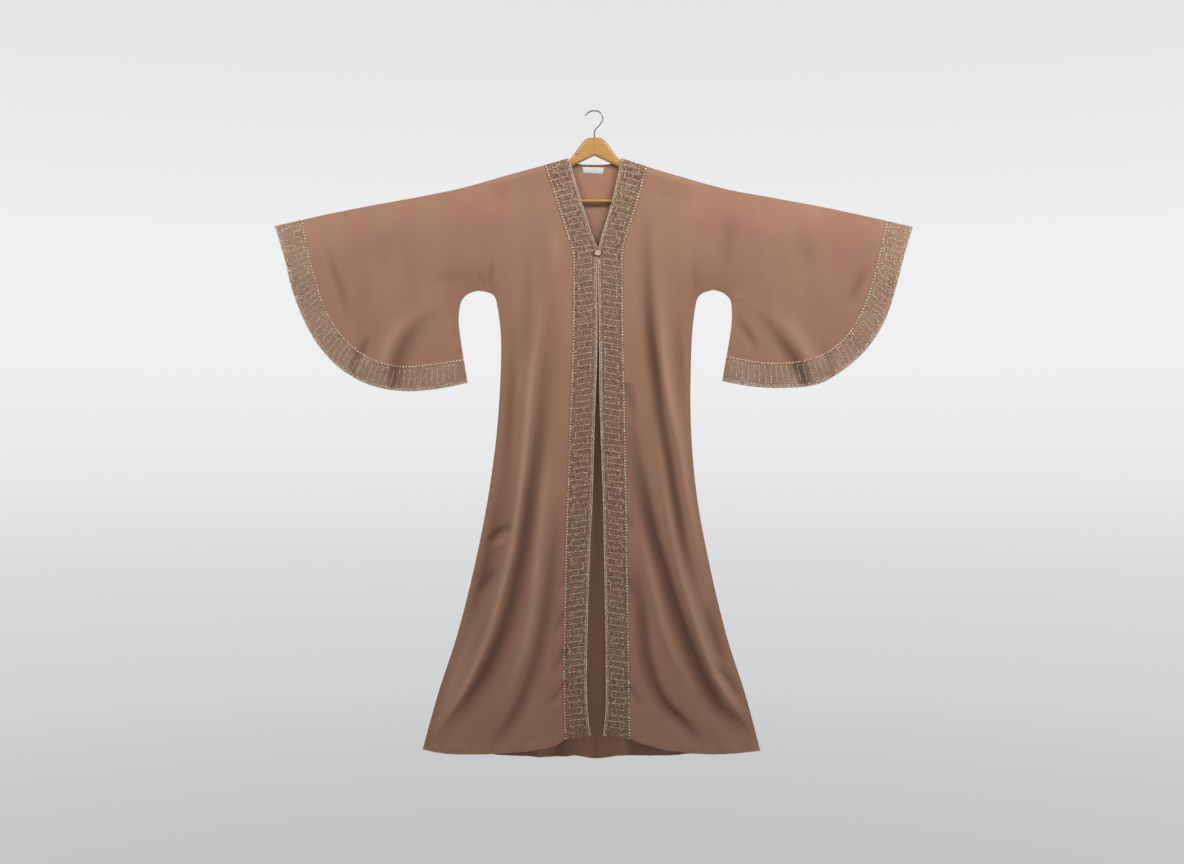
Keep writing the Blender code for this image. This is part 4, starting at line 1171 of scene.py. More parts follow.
class Panel:
    """A large piece of the cloak's cloth: a closed thin shell over its outline."""

    def __init__(self, name: str, layer: Layer, outline: np.ndarray) -> None:
        """Fill the outline with a lattice and triangulate it."""
        self.name = name
        self.layer = layer
        self.outline = outline
        places = np.vstack([outline, lattice(outline)])
        points, _, faces, _, _, _ = delaunay_2d_cdt(
            [Vector(place) for place in places], [], [list(range(len(outline)))], 1, 1e-6)
        self.places = np.array([(point.x, point.y) for point in points])
        self.triangles = [tuple(face) for face in faces]

    def build(self, finish: Material, *nodes: str) -> Piece:
        """Make the shell.

        Args:
            finish: The cloth's material.
            nodes: The frame's nodes that it stands for.

        Returns:
            The piece.
        """
        measured = self.layer.measure(self.places)
        turned = 1.0 - rise((self.layer.to_hem(self.places) - HANDLE.hem_turn) / HANDLE.hem_ease)
        outer = self.layer.raised(self.places, CLOTH + HANDLE.hem_lift * turned, measured)
        inner = self.layer.raised(self.places, 0.0, measured)
        triangles = [face if to_front(self.places, face) else (face[0], face[2], face[1])
                     for face in self.triangles]
        mesh = wall(self.name, self.layer.facing, outer, inner, triangles)
        # Fold heights that paint shade and highlight on the cloth, and a mark that paints the inner
        # sheet paler as painted light
        store(mesh, "fold", np.tile(measured.folds, 2) * self.outward())
        store(mesh, "inside", 0.5 - 0.5 * self.outward())
        return hang(linked(self.name, mesh, finish), "cloth", *nodes)

    def outward(self) -> np.ndarray:
        """1 on the outer sheet and -1 on the inner one, where a fold shows the other way."""
        signs = np.repeat([1.0, -1.0], len(self.places))
        return signs if self.layer.facing is Facing.FRONT else -signs


class Ribbon:
    """A strip of cloth sewn on a layer, between an outer and an opening edge."""

    # Shares across the strip, and how much of its thickness it has there
    EDGE_ROUND = ((0.0, 0.45), (0.012, 0.85), (0.04, 1.0), (0.16, 1.0), (0.28, 1.0), (0.40, 1.0),
                  (0.52, 1.0), (0.64, 1.0), (0.76, 1.0), (0.88, 1.0), (0.96, 1.0), (0.988, 0.85),
                  (1.0, 0.45))
    # How much of its thickness the strip has at its two ends
    END_SHARE = 0.55

    def __init__(self, name: str, layer: Layer, outer: np.ndarray, opening: np.ndarray) -> None:
        """Keep the two edges, whose points go in pairs."""
        self.name = name
        self.layer = layer
        self.outer = outer
        self.opening = opening
        self.run = running((outer + opening) / 2)

    @property
    def length(self) -> float:
        """The length along the strip's middle."""
        return float(self.run[-1])

    @property
    def width(self) -> float:
        """The mean width."""
        return float(np.linalg.norm(self.outer - self.opening, axis=1).mean())

    def place(self, along: np.ndarray, across: np.ndarray) -> np.ndarray:
        """Points in the XZ plane, from lengths along the strip and shares across it."""
        numbers = np.arange(len(self.run))
        row = np.interp(along, self.run, numbers)
        outer, opening = (np.column_stack([np.interp(row, numbers, axis) for axis in edge.T])
                          for edge in (self.outer, self.opening))
        share = np.asarray(across)[:, None]
        return outer * (1.0 - share) + opening * share

    def over(self, along: np.ndarray, across: np.ndarray, height: float) -> np.ndarray:
        """Points in space at a height over the strip's face."""
        return self.layer.raised(self.place(along, across), CLOTH + GAP + BAND_CLOTH + height)

    def build(self, finish: Material, slot: str, *nodes: str) -> Piece:
        """Make the strip as a closed wall with softened edges."""
        rows = max(2, round(self.length / RIBBON_STEP)) + 1
        across, full = np.array(self.EDGE_ROUND).T
        grid_along = np.repeat(np.linspace(0.0, self.length, rows), len(across))
        grid_across = np.tile(across, rows)
        places = self.place(grid_along, grid_across)
        measured = self.layer.measure(places)
        near_rim = np.minimum(grid_along, self.length - grid_along) < 1e-6
        share = np.tile(full, rows) * np.where(near_rim, self.END_SHARE, 1.0)
        top = self.layer.raised(places, CLOTH + GAP + BAND_CLOTH * share, measured)
        base = self.layer.raised(places, CLOTH + GAP, measured)
        quads = quads_to_front(places, grid(rows, len(across)))
        name = self.name + "_braid"
        mesh = wall(name, self.layer.facing, top, base, quads)
        uv = np.column_stack([grid_along, grid_across * self.width])
        store_uv(mesh, "Along", np.vstack([uv, uv]))
        # Fold heights that paint shade in the band's troughs
        store(mesh, "fold", np.tile(measured.folds, 2))
        return hang(linked(name, mesh, finish), slot, *nodes)


def quads_to_front(places: np.ndarray, quads: Faces) -> Faces:
    """The quads of a strip, all turned if the middle one faces the wrong way."""
    front = to_front(places, quads[len(quads) // 2])
    return quads if front else [tuple(reversed(quad)) for quad in quads]


@dataclass(frozen=True)
class Bead:
    """The size of one bead or stitch, and how far apart they follow each other."""

    spacing: float
    length: float
    breadth: float
    height: float
    uneven: float = 0.12


def drawn_value(node: bpy.types.Node) -> Socket:
    """The output of a random value node that is in use."""
    return next(s for s in node.outputs if s.enabled)


class Threading:
    """Geometry nodes that string beads or stitches along the edges of a mesh."""

    SIZES = ("Spacing", "Length", "Breadth", "Height", "Uneven")

    def __init__(self, name: str, finish: Material, segments: int = 7, rings: int = 4) -> None:
        """Build the tree, with named inputs for the bead's sizes and a seed."""
        tree = bpy.data.node_groups.new(name, "GeometryNodeTree")
        face = tree.interface
        face.new_socket("Geometry", in_out="INPUT", socket_type="NodeSocketGeometry")
        self.inputs = {}
        for size in self.SIZES:
            socket = face.new_socket(size, in_out="INPUT", socket_type="NodeSocketFloat")
            self.inputs[size] = socket.identifier
        seed = face.new_socket("Seed", in_out="INPUT", socket_type="NodeSocketInt")
        self.inputs["Seed"] = seed.identifier
        face.new_socket("Geometry", in_out="OUTPUT", socket_type="NodeSocketGeometry")
        self.tree = tree
        self.wire(finish, segments, rings)

    def wire(self, finish: Material, segments: int, rings: int) -> None:
        """Add the nodes and join them."""
        tree = self.tree
        given = new_node(tree, "NodeGroupInput")
        result = new_node(tree, "NodeGroupOutput")
        curve = new_node(tree, "GeometryNodeMeshToCurve")
        spaced = new_node(tree, "GeometryNodeResampleCurve", mode="LENGTH")
        bead = new_node(tree, "GeometryNodeMeshUVSphere", in_Segments=segments, in_Rings=rings,
                        in_Radius=0.5)
        size = new_node(tree, "ShaderNodeCombineXYZ")
        low = new_node(tree, "ShaderNodeMath", operation="SUBTRACT", in_0=1.0)
        high = new_node(tree, "ShaderNodeMath", operation="ADD", in_0=1.0)
        chance = new_node(tree, "FunctionNodeRandomValue", data_type="FLOAT")
        varied = new_node(tree, "ShaderNodeVectorMath", operation="SCALE")
        tangent = new_node(tree, "GeometryNodeInputTangent")
        turn = new_node(tree, "FunctionNodeAlignRotationToVector", axis="X", pivot_axis="Y")
        strung = new_node(tree, "GeometryNodeInstanceOnPoints")
        tint = new_node(tree, "FunctionNodeRandomValue", data_type="FLOAT")
        kept = new_node(tree, "GeometryNodeStoreNamedAttribute", data_type="FLOAT",
                        domain="INSTANCE", in_Name="tint")
        real = new_node(tree, "GeometryNodeRealizeInstances")
        smooth = new_node(tree, "GeometryNodeSetShadeSmooth")
        dressed = new_node(tree, "GeometryNodeSetMaterial", in_Material=finish)
        for start, output, end, entry in (
                (given, "Geometry", curve, "Mesh"), (curve, "Curve", spaced, "Curve"),
                (given, "Spacing", spaced, "Length"), (spaced, "Curve", strung, "Points"),
                (bead, "Mesh", strung, "Instance"), (given, "Length", size, "X"),
                (given, "Height", size, "Y"), (given, "Breadth", size, "Z"),
                (given, "Uneven", low, 1), (given, "Uneven", high, 1),
                (given, "Seed", chance, "Seed"), (size, "Vector", varied, 0),
                (varied, "Vector", strung, "Scale"), (tangent, "Tangent", turn, "Vector"),
                (turn, "Rotation", strung, "Rotation"), (given, "Seed", tint, "Seed"),
                (strung, "Instances", kept, "Geometry"), (kept, "Geometry", real, "Geometry"),
                (real, "Geometry", smooth, "Geometry"), (smooth, "Geometry", dressed, "Geometry"),
                (dressed, "Geometry", result, "Geometry")):
            tree.links.new(start.outputs[output], end.inputs[entry])
        least, most = [s for s in chance.inputs if s.enabled][:2]
        for start, end in ((low.outputs["Value"], least), (high.outputs["Value"], most),
                           (drawn_value(chance), varied.inputs["Scale"]),
                           (drawn_value(tint), kept.inputs["Value"])):
            tree.links.new(start, end)

    def string(self, name: str, lines: list[np.ndarray], bead: Bead, seed: int) -> Mesh:
        """String beads along lines.

        Args:
            name: Name of the mesh.
            lines: The lines in space, each a row of points.
            bead: The bead's sizes.
            seed: Seed of the unevenness.

        Returns:
            A plain mesh of all the beads.
        """
        mesh = bpy.data.meshes.new(name + "_threads")
        starts = np.cumsum([0, *(len(line) for line in lines)])
        edges = [(first + i, first + i + 1) for first, line in zip(starts, lines)
                 for i in range(len(line) - 1)]
        mesh.from_pydata(np.vstack(lines).tolist(), edges, [])
        threads = linked(name + "_threads", mesh)
        nodes = threads.modifiers.new("beads", "NODES")
        nodes.node_group = self.tree
        sizes = (bead.spacing, bead.length, bead.breadth, bead.height, bead.uneven)
        for size, value in zip(self.SIZES, sizes):
            nodes[self.inputs[size]] = value
        nodes[self.inputs["Seed"]] = seed
        made = bpy.data.meshes.new_from_object(
            threads.evaluated_get(bpy.context.evaluated_depsgraph_get()))
        made.name = name
        bpy.data.objects.remove(threads)
        return made


def merged(name: str, meshes: list[Mesh]) -> Piece:
    """One object of several meshes of beads, which keep their materials and tints."""
    pieces = [linked(name, mesh) for mesh in meshes]
    if len(pieces) > 1:
        with bpy.context.temp_override(active_object=pieces[0], object=pieces[0],
                                       selected_objects=pieces,
                                       selected_editable_objects=pieces):
            bpy.ops.object.join()
    pieces[0].name = name
    return pieces[0]


@dataclass(frozen=True)
class Bar:
    """A bar of the key pattern: where it starts and ends across the band, and its join."""

    start: float
    end: float
    join: Join


@dataclass(frozen=True)
class KeyPattern:
    """A square key fret stitched along a band, between rows of beads.

    The bars follow each other by the pitch, and the lead is the first one's distance from
    the band's start, as a share of the pitch. The rows stand at shares of the band's width
    and stop a margin short of its ends.
    """

    bars: tuple[Bar, ...]
    pitch: float
    dot_at: float
    edge_at: float
    line_at: float
    lead: float = 0.9
    margin: float = 0.002
    point_step: float = 0.003

    def line(self, ribbon: Ribbon, along: tuple[float, float], across: tuple[float, float],
             height: float) -> np.ndarray:
        """A straight line of the pattern, laid on the ribbon."""
        run = abs(along[1] - along[0]) + abs(across[1] - across[0]) * ribbon.width
        count = max(2, round(run / self.point_step) + 1)
        return ribbon.over(np.linspace(*along, count), np.linspace(*across, count), height)

    def fret(self, ribbon: Ribbon, height: float) -> list[np.ndarray]:
        """The bars across the band and the joins between them."""
        lines = []
        count = int((ribbon.length - self.pitch) / self.pitch)
        for number in range(count):
            bar = self.bars[number % len(self.bars)]
            here = (number + self.lead) * self.pitch
            lines.append(self.line(ribbon, (here, here), (bar.start, bar.end), height))
            if bar.join is not Join.NONE and number + 1 < count:
                across = bar.start if bar.join is Join.OUTER else bar.end
                lines.append(self.line(ribbon, (here, here + self.pitch), (across, across), height))
        return lines

    def row(self, ribbon: Ribbon, across: float, height: float) -> list[np.ndarray]:
        """A row along the whole band."""
        along = (self.margin, ribbon.length - self.margin)
        return [self.line(ribbon, along, (across, across), height)]


# The fret of the front bands, in threes, and that of the cuffs
FRONT_KEY = KeyPattern(
    bars=(Bar(0.25, 0.86, Join.OUTER), Bar(0.25, 0.76, Join.OPENING), Bar(0.06, 0.76, Join.NONE)),
    pitch=0.0144, dot_at=0.034, edge_at=0.995, line_at=0.925)
CUFF_KEY = KeyPattern(
    bars=(Bar(0.16, 0.82, Join.OUTER), Bar(0.16, 0.70, Join.NONE), Bar(0.24, 0.82, Join.OPENING),
          Bar(0.16, 0.82, Join.NONE)),
    pitch=0.0138, dot_at=0.034, edge_at=0.978, line_at=0.905)

STITCH_BEAD = Bead(0.0038, 0.0030, 0.0016, 0.0012, 0.22)
DOT_BEAD = Bead(0.0070, 0.0043, 0.0040, 0.0023)
CUFF_DOT_BEAD = Bead(0.0076, 0.0042, 0.0040, 0.0023)
EDGE_BEAD = Bead(0.0028, 0.0032, 0.0036, 0.0022, 0.08)
LINE_BEAD = Bead(0.0052, 0.0030, 0.0026, 0.0016, 0.25)
HEM_STITCH = Bead(0.0036, 0.0024, 0.0006, 0.0005, 0.08)
TAPE_STITCH = Bead(0.0026, 0.0018, 0.0005, 0.0005, 0.05)


class Finishes:
    """Every material of the cloak and its hanger, made once."""

    def __init__(self) -> None:
        """Make them all."""
        self.cloth = SatinCrepe().make()
        self.braid = SpeckledBraid().make()
        self.cuff_braid = SpeckledBraid("cuff braid", (0.520, 0.325, 0.225), 0.40).make()
        self.beads = Beadwork("cream beads", (0.760, 0.520, 0.350), (1.000, 0.820, 0.600),
                              (1.000, 0.960, 0.860)).make()
        self.edging = Beadwork("pale edging", (0.440, 0.330, 0.235), (0.700, 0.560, 0.420),
                               (0.880, 0.760, 0.600)).make()
        self.thread = Beadwork("brown thread", (0.230, 0.125, 0.085), (0.300, 0.165, 0.115),
                               (0.360, 0.205, 0.145), 0.6).make()
        self.binding = WovenTape("mauve tape", (0.360, 0.140, 0.130), (0.190, 0.062, 0.064)).make()
        self.label = WovenTape("white label tape", (0.860, 0.850, 0.820),
                               (0.620, 0.600, 0.560)).make()
        self.button = CreamHorn().make()
        self.cord = TwistedCord("khaki cord", (0.300, 0.225, 0.120), (0.090, 0.060, 0.030)).make()
        self.wood = HoneyWood().make()
        self.wire = BrightWire().make()


class Threadings:
    """The bead and stitch trees, one for each finish."""

    def __init__(self, finishes: Finishes) -> None:
        """Build the trees."""
        self.beads = Threading("cream beads", finishes.beads)
        self.edging = Threading("pale edging", finishes.edging)
        self.thread = Threading("brown thread", finishes.thread, 5, 3)


@dataclass
class Trimmed:
    """A band with its beadwork."""

    ribbon: Ribbon
    key: KeyPattern
    dot: Bead
    seed: int

    def build(self, braid: Material, threadings: Threadings) -> None:
        """Make the band and its beads.

        Args:
            braid: The band's material.
            threadings: The bead trees.
        """
        ribbon, key, name = self.ribbon, self.key, self.ribbon.name
        band = ribbon.build(braid, "band", name)
        threads = [threadings.beads.string(
            name + "_fret", key.fret(ribbon, 0.3 * STITCH_BEAD.height), STITCH_BEAD, self.seed)]
        rows = (("_dots", threadings.beads, self.dot, key.dot_at, 0.3),
                ("_edge", threadings.edging, EDGE_BEAD, key.edge_at, 0.2),
                ("_line", threadings.beads, LINE_BEAD, key.line_at, 0.3))
        for number, (word, threading, bead, across, lift) in enumerate(rows, 1):
            row = key.row(ribbon, across, lift * bead.height)
            threads.append(threading.string(name + word, row, bead, self.seed + number))
        beads = hang(merged(name + "_beadwork", threads), "band")


class Cloak:
    """The cloak: two fronts, the back, the bands, the binding, the label and the stitching."""

    BINDING_WIDTH = 0.0040
    BINDING_START = 0.0104
    BINDING_STEPS = 40
    LABEL_TOP = ((-0.0295, -0.1325), (0.0233, -0.1345))
    LABEL_FOOT = ((-0.0269, -0.1470), (0.0199, -0.1505))
    LABEL_FLAT = (0.050, 0.015)
    LABEL_STEPS = 24
    LABEL_CURL = 0.0006
    LABEL_STITCH_SHARES = (0.06, 0.94)
    CUFF_STEPS = 150
    HEM_STITCH_STEPS = 300
    HEM_STITCH_SHARES = (0.03, 0.97)
    # Shares across a tape, and how much of its thickness it has there
    TAPE_SHARES = (0.0, 0.06, 0.3, 0.5, 0.7, 0.94, 1.0)
    TAPE_ROUND = (0.5, 1.0, 1.0, 1.0, 1.0, 1.0, 0.5)

    def __init__(self, finishes: Finishes) -> None:
        """Keep the finishes and build the bead trees."""
        self.finishes = finishes
        self.threadings = Threadings(finishes)

    def build(self) -> None:
        """Make every piece of the cloak."""
        for number, (side, cut) in enumerate(CUTS.items()):
            self.build_front(side, cut, 100 * (number + 1))
        self.build_back()

    def build_cuff(self, side: Side, layer: Layer, seed: int) -> None:
        """The cuff band's front or back half on one side."""
        cut = CUTS[side]
        word = "front" if layer.facing is Facing.FRONT else "back"
        ribbon = Ribbon(f"cuff_band_{side.word}_{word}", layer,
                        evenly(cut.cuff_inner, self.CUFF_STEPS), evenly(cut.cuff, self.CUFF_STEPS))
        trimmed = Trimmed(ribbon, CUFF_KEY, CUFF_DOT_BEAD, seed)
        trimmed.build(self.finishes.cuff_braid, self.threadings)

    def hem_stitches(self, name: str, layer: Layer, hem: np.ndarray, seed: int) -> Piece:
        """The row of stitches that holds the turned-up hem."""
        line = evenly(hem + (0.0, HANDLE.hem_turn), self.HEM_STITCH_STEPS, *self.HEM_STITCH_SHARES)
        path = layer.raised(line, CLOTH + HANDLE.hem_lift + 0.2 * HEM_STITCH.height)
        mesh = self.threadings.thread.string(name, [path], HEM_STITCH, seed)
        return hang(merged(name, [mesh]), "cloth")

    def build_front(self, side: Side, cut: Cut, seed: int) -> None:
        """A front with its grown-on sleeve, its front band and half of its cuff band."""
        name = f"front_{side.word}"
        panel = Panel(name + "_cloth", FRONT, cut.front_outline())
        piece = panel.build(self.finishes.cloth, name)
        ribbon = Ribbon(f"front_band_{side.word}", FRONT, cut.band_outer, cut.band_inner)
        Trimmed(ribbon, FRONT_KEY, DOT_BEAD, seed).build(self.finishes.braid, self.threadings)
        self.build_cuff(side, FRONT, seed + 10)
        stitches = self.hem_stitches(name + "_hem_stitches", FRONT, cut.hem, seed + 20)

    def back_outline(self) -> np.ndarray:
        """The closed outline of the back with both sleeves."""
        right, left = CUTS[Side.RIGHT], CUTS[Side.LEFT]
        sides = {side: chain(stepped(cut.cuff, EDGE_STEP), stepped(cut.under, EDGE_STEP))
                 for side, cut in CUTS.items()}
        return chain(right.overarm, sides[Side.RIGHT], stepped(BACK_HEM_LINE, EDGE_STEP),
                     sides[Side.LEFT][::-1], left.overarm[::-1],
                     stepped(BACK_NECK_LINE, EDGE_STEP)[::-1])[:-1]

    def build_back(self) -> None:
        """The back, with its cuff bands, its neck binding and its blank label."""
        panel = Panel("back_cloth", BACK, self.back_outline())
        piece = panel.build(self.finishes.cloth, "back")
        for number, side in enumerate(Side):
            self.build_cuff(side, BACK, 500 + 50 * number)
        stitches = self.hem_stitches("back_hem_stitches", BACK, BACK_HEM_LINE, 700)
        binding = self.build_binding()
        label, label_stitches = self.build_label()

    def inner_strip(self, name: str, top: np.ndarray, foot: np.ndarray, thickness: float,
                    finish: Material, slot: str, curl: float = 0.0) -> Piece:
        """A strip on the inside of the back, between a top and a bottom line.

        Args:
            name: The frame's node that it stands for.
            top: Points of its upper edge.
            foot: Points of its lower edge, paired with those.
            thickness: Thickness of the tape.
            finish: Its material.
            slot: Its material slot.
            curl: How far the middle of its face stands forward.

        Returns:
            The piece.
        """
        shares = np.array(self.TAPE_SHARES)
        rows, columns = len(top), len(shares)
        places = (top[:, None] * (1 - shares[None, :, None])
                  + foot[:, None] * shares[None, :, None]).reshape(-1, 2)
        measured = BACK.measure(places)
        crown = curl * (1.0 - (2.0 * np.tile(shares, rows) - 1.0) ** 2)
        thick = thickness * np.tile(self.TAPE_ROUND, rows)
        front = BACK.raised(places, -(GAP + thick + crown), measured)
        rear = BACK.raised(places, -(GAP + 0.6 * crown), measured)
        quads = quads_to_front(places, grid(rows, columns))
        mesh = wall(name + "_tape", Facing.FRONT, front, rear, quads)
        return hang(linked(name + "_tape", mesh, finish), slot, name)

    def build_binding(self) -> Piece:
        """The narrow mauve binding inside the back neck."""
        share = self.BINDING_START / running(BACK_NECK_LINE)[-1]
        top = evenly(BACK_NECK_LINE, self.BINDING_STEPS, share, 1.0 - share)
        return self.inner_strip("back_neck_binding", top, top - (0.0, self.BINDING_WIDTH),
                                BINDING_CLOTH, self.finishes.binding, "binding")

    def build_label(self) -> tuple[Piece, Piece]:
        """The small white label, left blank, with a row of stitches at each end."""
        top, foot = np.array(self.LABEL_TOP), np.array(self.LABEL_FOOT)
        label = self.inner_strip("neck_label", evenly(top, self.LABEL_STEPS),
                                 evenly(foot, self.LABEL_STEPS), LABEL_CLOTH, self.finishes.label,
                                 "label", self.LABEL_CURL)
        lines = []
        for share in self.LABEL_STITCH_SHARES:
            ends = np.array([evenly(line, 1, share, 1.0)[0] for line in (top, foot)])
            lines.append(BACK.raised(evenly(ends, 12, 0.1, 0.9),
                                     -(GAP + LABEL_CLOTH + self.LABEL_CURL)))
        mesh = self.threadings.thread.string("neck_label_stitches", lines, TAPE_STITCH, 800)
        return label, hang(merged("neck_label_stitches", [mesh]), "label")


# Shares of a cord's radius: the valley between two strands, and the height of its end
VALLEY = 0.86
TIP = 0.4


def tube(name: str, route: np.ndarray, radius: np.ndarray | float, sides: int = 16,
         strands: int = 0, twist: float = 0.0) -> Mesh:
    """A round cord, wire or rod along a route, with rounded ends.

    Args:
        name: Name of the mesh.
        route: Points of its centreline.
        radius: Its radius, one or one for each point.
        sides: Points round it.
        strands: Number of twisted strands that show, or 0.
        twist: Length of a full turn of a strand.

    Returns:
        The closed mesh, whose "strand" value is 1 on a strand's crest.
    """
    run = running(route)
    ahead = np.gradient(route, run, axis=0)
    ahead /= np.linalg.norm(ahead, axis=1)[:, None]
    across = np.cross(ahead, (0.0, 1.0, 0.0))
    flat = np.linalg.norm(across, axis=1) < 1e-6
    across[flat] = (0.0, 0.0, 1.0)
    across /= np.linalg.norm(across, axis=1)[:, None]
    third = np.cross(ahead, across)
    angles = 2 * np.pi * np.arange(sides) / sides
    widths = np.broadcast_to(radius, len(route)).astype(float)
    crest = np.ones((len(route), sides))
    if strands:
        phase = strands * (angles[None, :] - 2 * np.pi * run[:, None] / twist)
        crest = 0.5 + 0.5 * np.cos(phase)
        ring = widths[:, None] * (VALLEY + (1.0 - VALLEY) * np.sqrt(crest))
    else:
        ring = np.repeat(widths[:, None], sides, axis=1)
    rings = route[:, None, :] + ring[..., None] * (np.cos(angles)[None, :, None] * across[:, None]
                                                   + np.sin(angles)[None, :, None] * third[:, None])
    tips = np.array([route[0] - ahead[0] * widths[0] * TIP, route[-1] + ahead[-1] * widths[-1] * TIP])
    mesh = capped(name, rings, tips)
    store(mesh, "strand", np.concatenate([crest.ravel(), [0.5, 0.5]]))
    return mesh


@dataclass
class Fastening:
    """The button at the point of the neckline, and the cord loop round it."""

    finishes: Finishes
    loop_radius: float = 0.0094
    cord: float = 0.0022
    opening: float = 34.0
    tail: float = 0.0045
    tail_slope: float = 0.6
    arc_points: int = 90
    cord_points: int = 150
    cord_sides: int = 14
    strands: int = 2
    twist: float = 0.0042
    sides: int = 48
    profile: tuple[Point2, ...] = ((0.0, 0.0), (0.80, 0.0), (0.97, 0.22), (1.0, 0.45), (0.97, 0.72),
                                   (0.90, 0.88), (0.82, 0.93), (0.74, 0.86), (0.66, 0.80),
                                   (0.45, 0.86), (0.25, 0.94), (0.0, 0.97))

    def build(self) -> None:
        """Make the button and its loop, where the frame has them."""
        low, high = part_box("button")
        centre = ((low.x + high.x) / 2, (low.z + high.z) / 2)
        self.build_button(centre, high.y, (high.x - low.x) / 2, high.y - low.y)
        self.build_loop(centre)

    def build_button(self, centre: Point2, base: float, radius: float, height: float) -> None:
        """A turned button with a soft rim and a low dome."""
        profile = through(self.profile, 4)
        angles = 2 * np.pi * np.arange(self.sides) / self.sides
        rings = np.array([[(centre[0] + r * radius * math.cos(a), base - h * height,
                            centre[1] + r * radius * math.sin(a)) for a in angles]
                          for r, h in profile[1:-1]])
        tips = np.array([(centre[0], base - h * height, centre[1]) for h in profile[[0, -1], 1]])
        mesh = capped("button_turned", rings, tips)
        hang(linked("button_turned", mesh, self.finishes.button), "button", "button")

    def build_loop(self, centre: Point2) -> None:
        """The twisted cord that goes round the button from the left front."""
        low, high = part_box("button_loop")
        y = (low.y + high.y) / 2
        furthest = 180.0 - self.opening
        turns = np.radians(np.linspace(furthest, -furthest, self.arc_points))
        arc = np.column_stack([centre[0] + self.loop_radius * np.cos(turns), np.full(len(turns), y),
                               centre[1] + self.loop_radius * np.sin(turns)])
        first = arc[0] + (-self.tail, 0.0, -self.tail * self.tail_slope)
        last = arc[-1] + (-self.tail, 0.0, self.tail * self.tail_slope)
        route = evenly(through([first, *arc[::6], arc[-1], last]), self.cord_points)
        mesh = tube("button_loop_cord", route, self.cord / 2, self.cord_sides, self.strands,
                    self.twist)
        hang(linked("button_loop_cord", mesh, self.finishes.cord), "loop", "button_loop")


@dataclass
class Hanger:
    """The hanger: two wooden arms in one piece, a round bar and a wire hook."""

    finishes: Finishes
    chamfer: float = 0.0064
    top_half: float = 0.0015
    seat_drop: float = 0.0028
    half: float = 0.0060
    steps: int = 5
    hook_wire: float = 0.0036
    hook_steps: int = 140
    hook_sides: int = 20
    hook_tip: tuple[float, ...] = (0.97, 0.85, 0.55)
    bar_z: float = -0.2156
    bar_radius: float = 0.0040
    bar_end: float = 0.1960
    bar_steps: int = 60
    bar_sides: int = 28

    def build(self) -> None:
        """Make the wood, the bar and the hook."""
        self.build_arms()
        ends = np.array([(-self.bar_end, 0.0, self.bar_z), (self.bar_end, 0.0, self.bar_z)])
        rod = tube("hanger_bar_rod", evenly(ends, self.bar_steps), self.bar_radius, self.bar_sides)
        hang(linked("hanger_bar_rod", rod, self.finishes.wood), "wood", "hanger_bar")
        hook = evenly(through([(x, 0.0, z) for x, z in metres(HOOK_PATH)], 14), self.hook_steps)
        taper = np.full(len(hook), self.hook_wire / 2)
        taper[-len(self.hook_tip):] *= self.hook_tip
        wire = tube("hanger_hook_wire", hook, taper, self.hook_sides)
        hang(linked("hanger_hook_wire", wire, self.finishes.wire), "wire", "hanger_hook")

    def ring(self, x: float, row: Arm) -> list[tuple[float, float, float]]:
        """A section of the wood, its top just below the shoulder seam, its corners eased."""
        side = Side.RIGHT if x < 0 else Side.LEFT
        top = row.top
        seam = CUTS[side].overarm_curve
        if abs(seam[0][0]) < abs(x):
            seam_z = evenly(seam, 1, share_of_x(seam, x), 1.0)[0][1]
            top = min(top, seam_z - self.seat_drop)
        chamfer = min(self.chamfer, (top - row.bottom) / 3)
        edge = self.top_half * row.half / self.half
        corners = [(0.0, top), (edge, top), (row.half, top - chamfer),
                   (row.half, row.bottom + chamfer), (2 * edge, row.bottom), (0.0, row.bottom)]
        half = self.eased(corners)
        return ([(x, y, z) for y, z in half] + [(x, -y, z) for y, z in half[-2:0:-1]])

    @staticmethod
    def eased(corners: list[Point2], share: float = 0.30) -> list[Point2]:
        """A line whose inner corners are cut by short curves."""
        line = [corners[0]]
        for before, corner, after in zip(corners, corners[1:], corners[2:]):
            before, corner, after = (np.array(p) for p in (before, corner, after))
            start = corner + (before - corner) * share
            end = corner + (after - corner) * share
            for t in (0.0, 0.25, 0.5, 0.75, 1.0):
                line.append(tuple((1 - t) ** 2 * start + 2 * t * (1 - t) * corner + t * t * end))
        line.append(corners[-1])
        return line

    def build_arms(self) -> None:
        """The wood, drawn smoothly through its sections."""
        rows = [Arm(*row) for row in through(metres(ARMS), self.steps)]
        stations = [(-row.out, row) for row in rows[:0:-1]] + [(row.out, row) for row in rows]
        rings = np.array([self.ring(x, row) for x, row in stations])
        sections, count = rings.shape[:2]
        faces = grid(sections, count, True)
        faces.append(tuple(range(count)))
        faces.append(tuple(reversed(range((sections - 1) * count, sections * count))))
        mesh = mesh_of("hanger_wood_arms", rings.reshape(-1, 3), faces, 35.0)
        recalculate(mesh)
        hang(linked("hanger_wood_arms", mesh, self.finishes.wood), "wood", "hanger_wood")


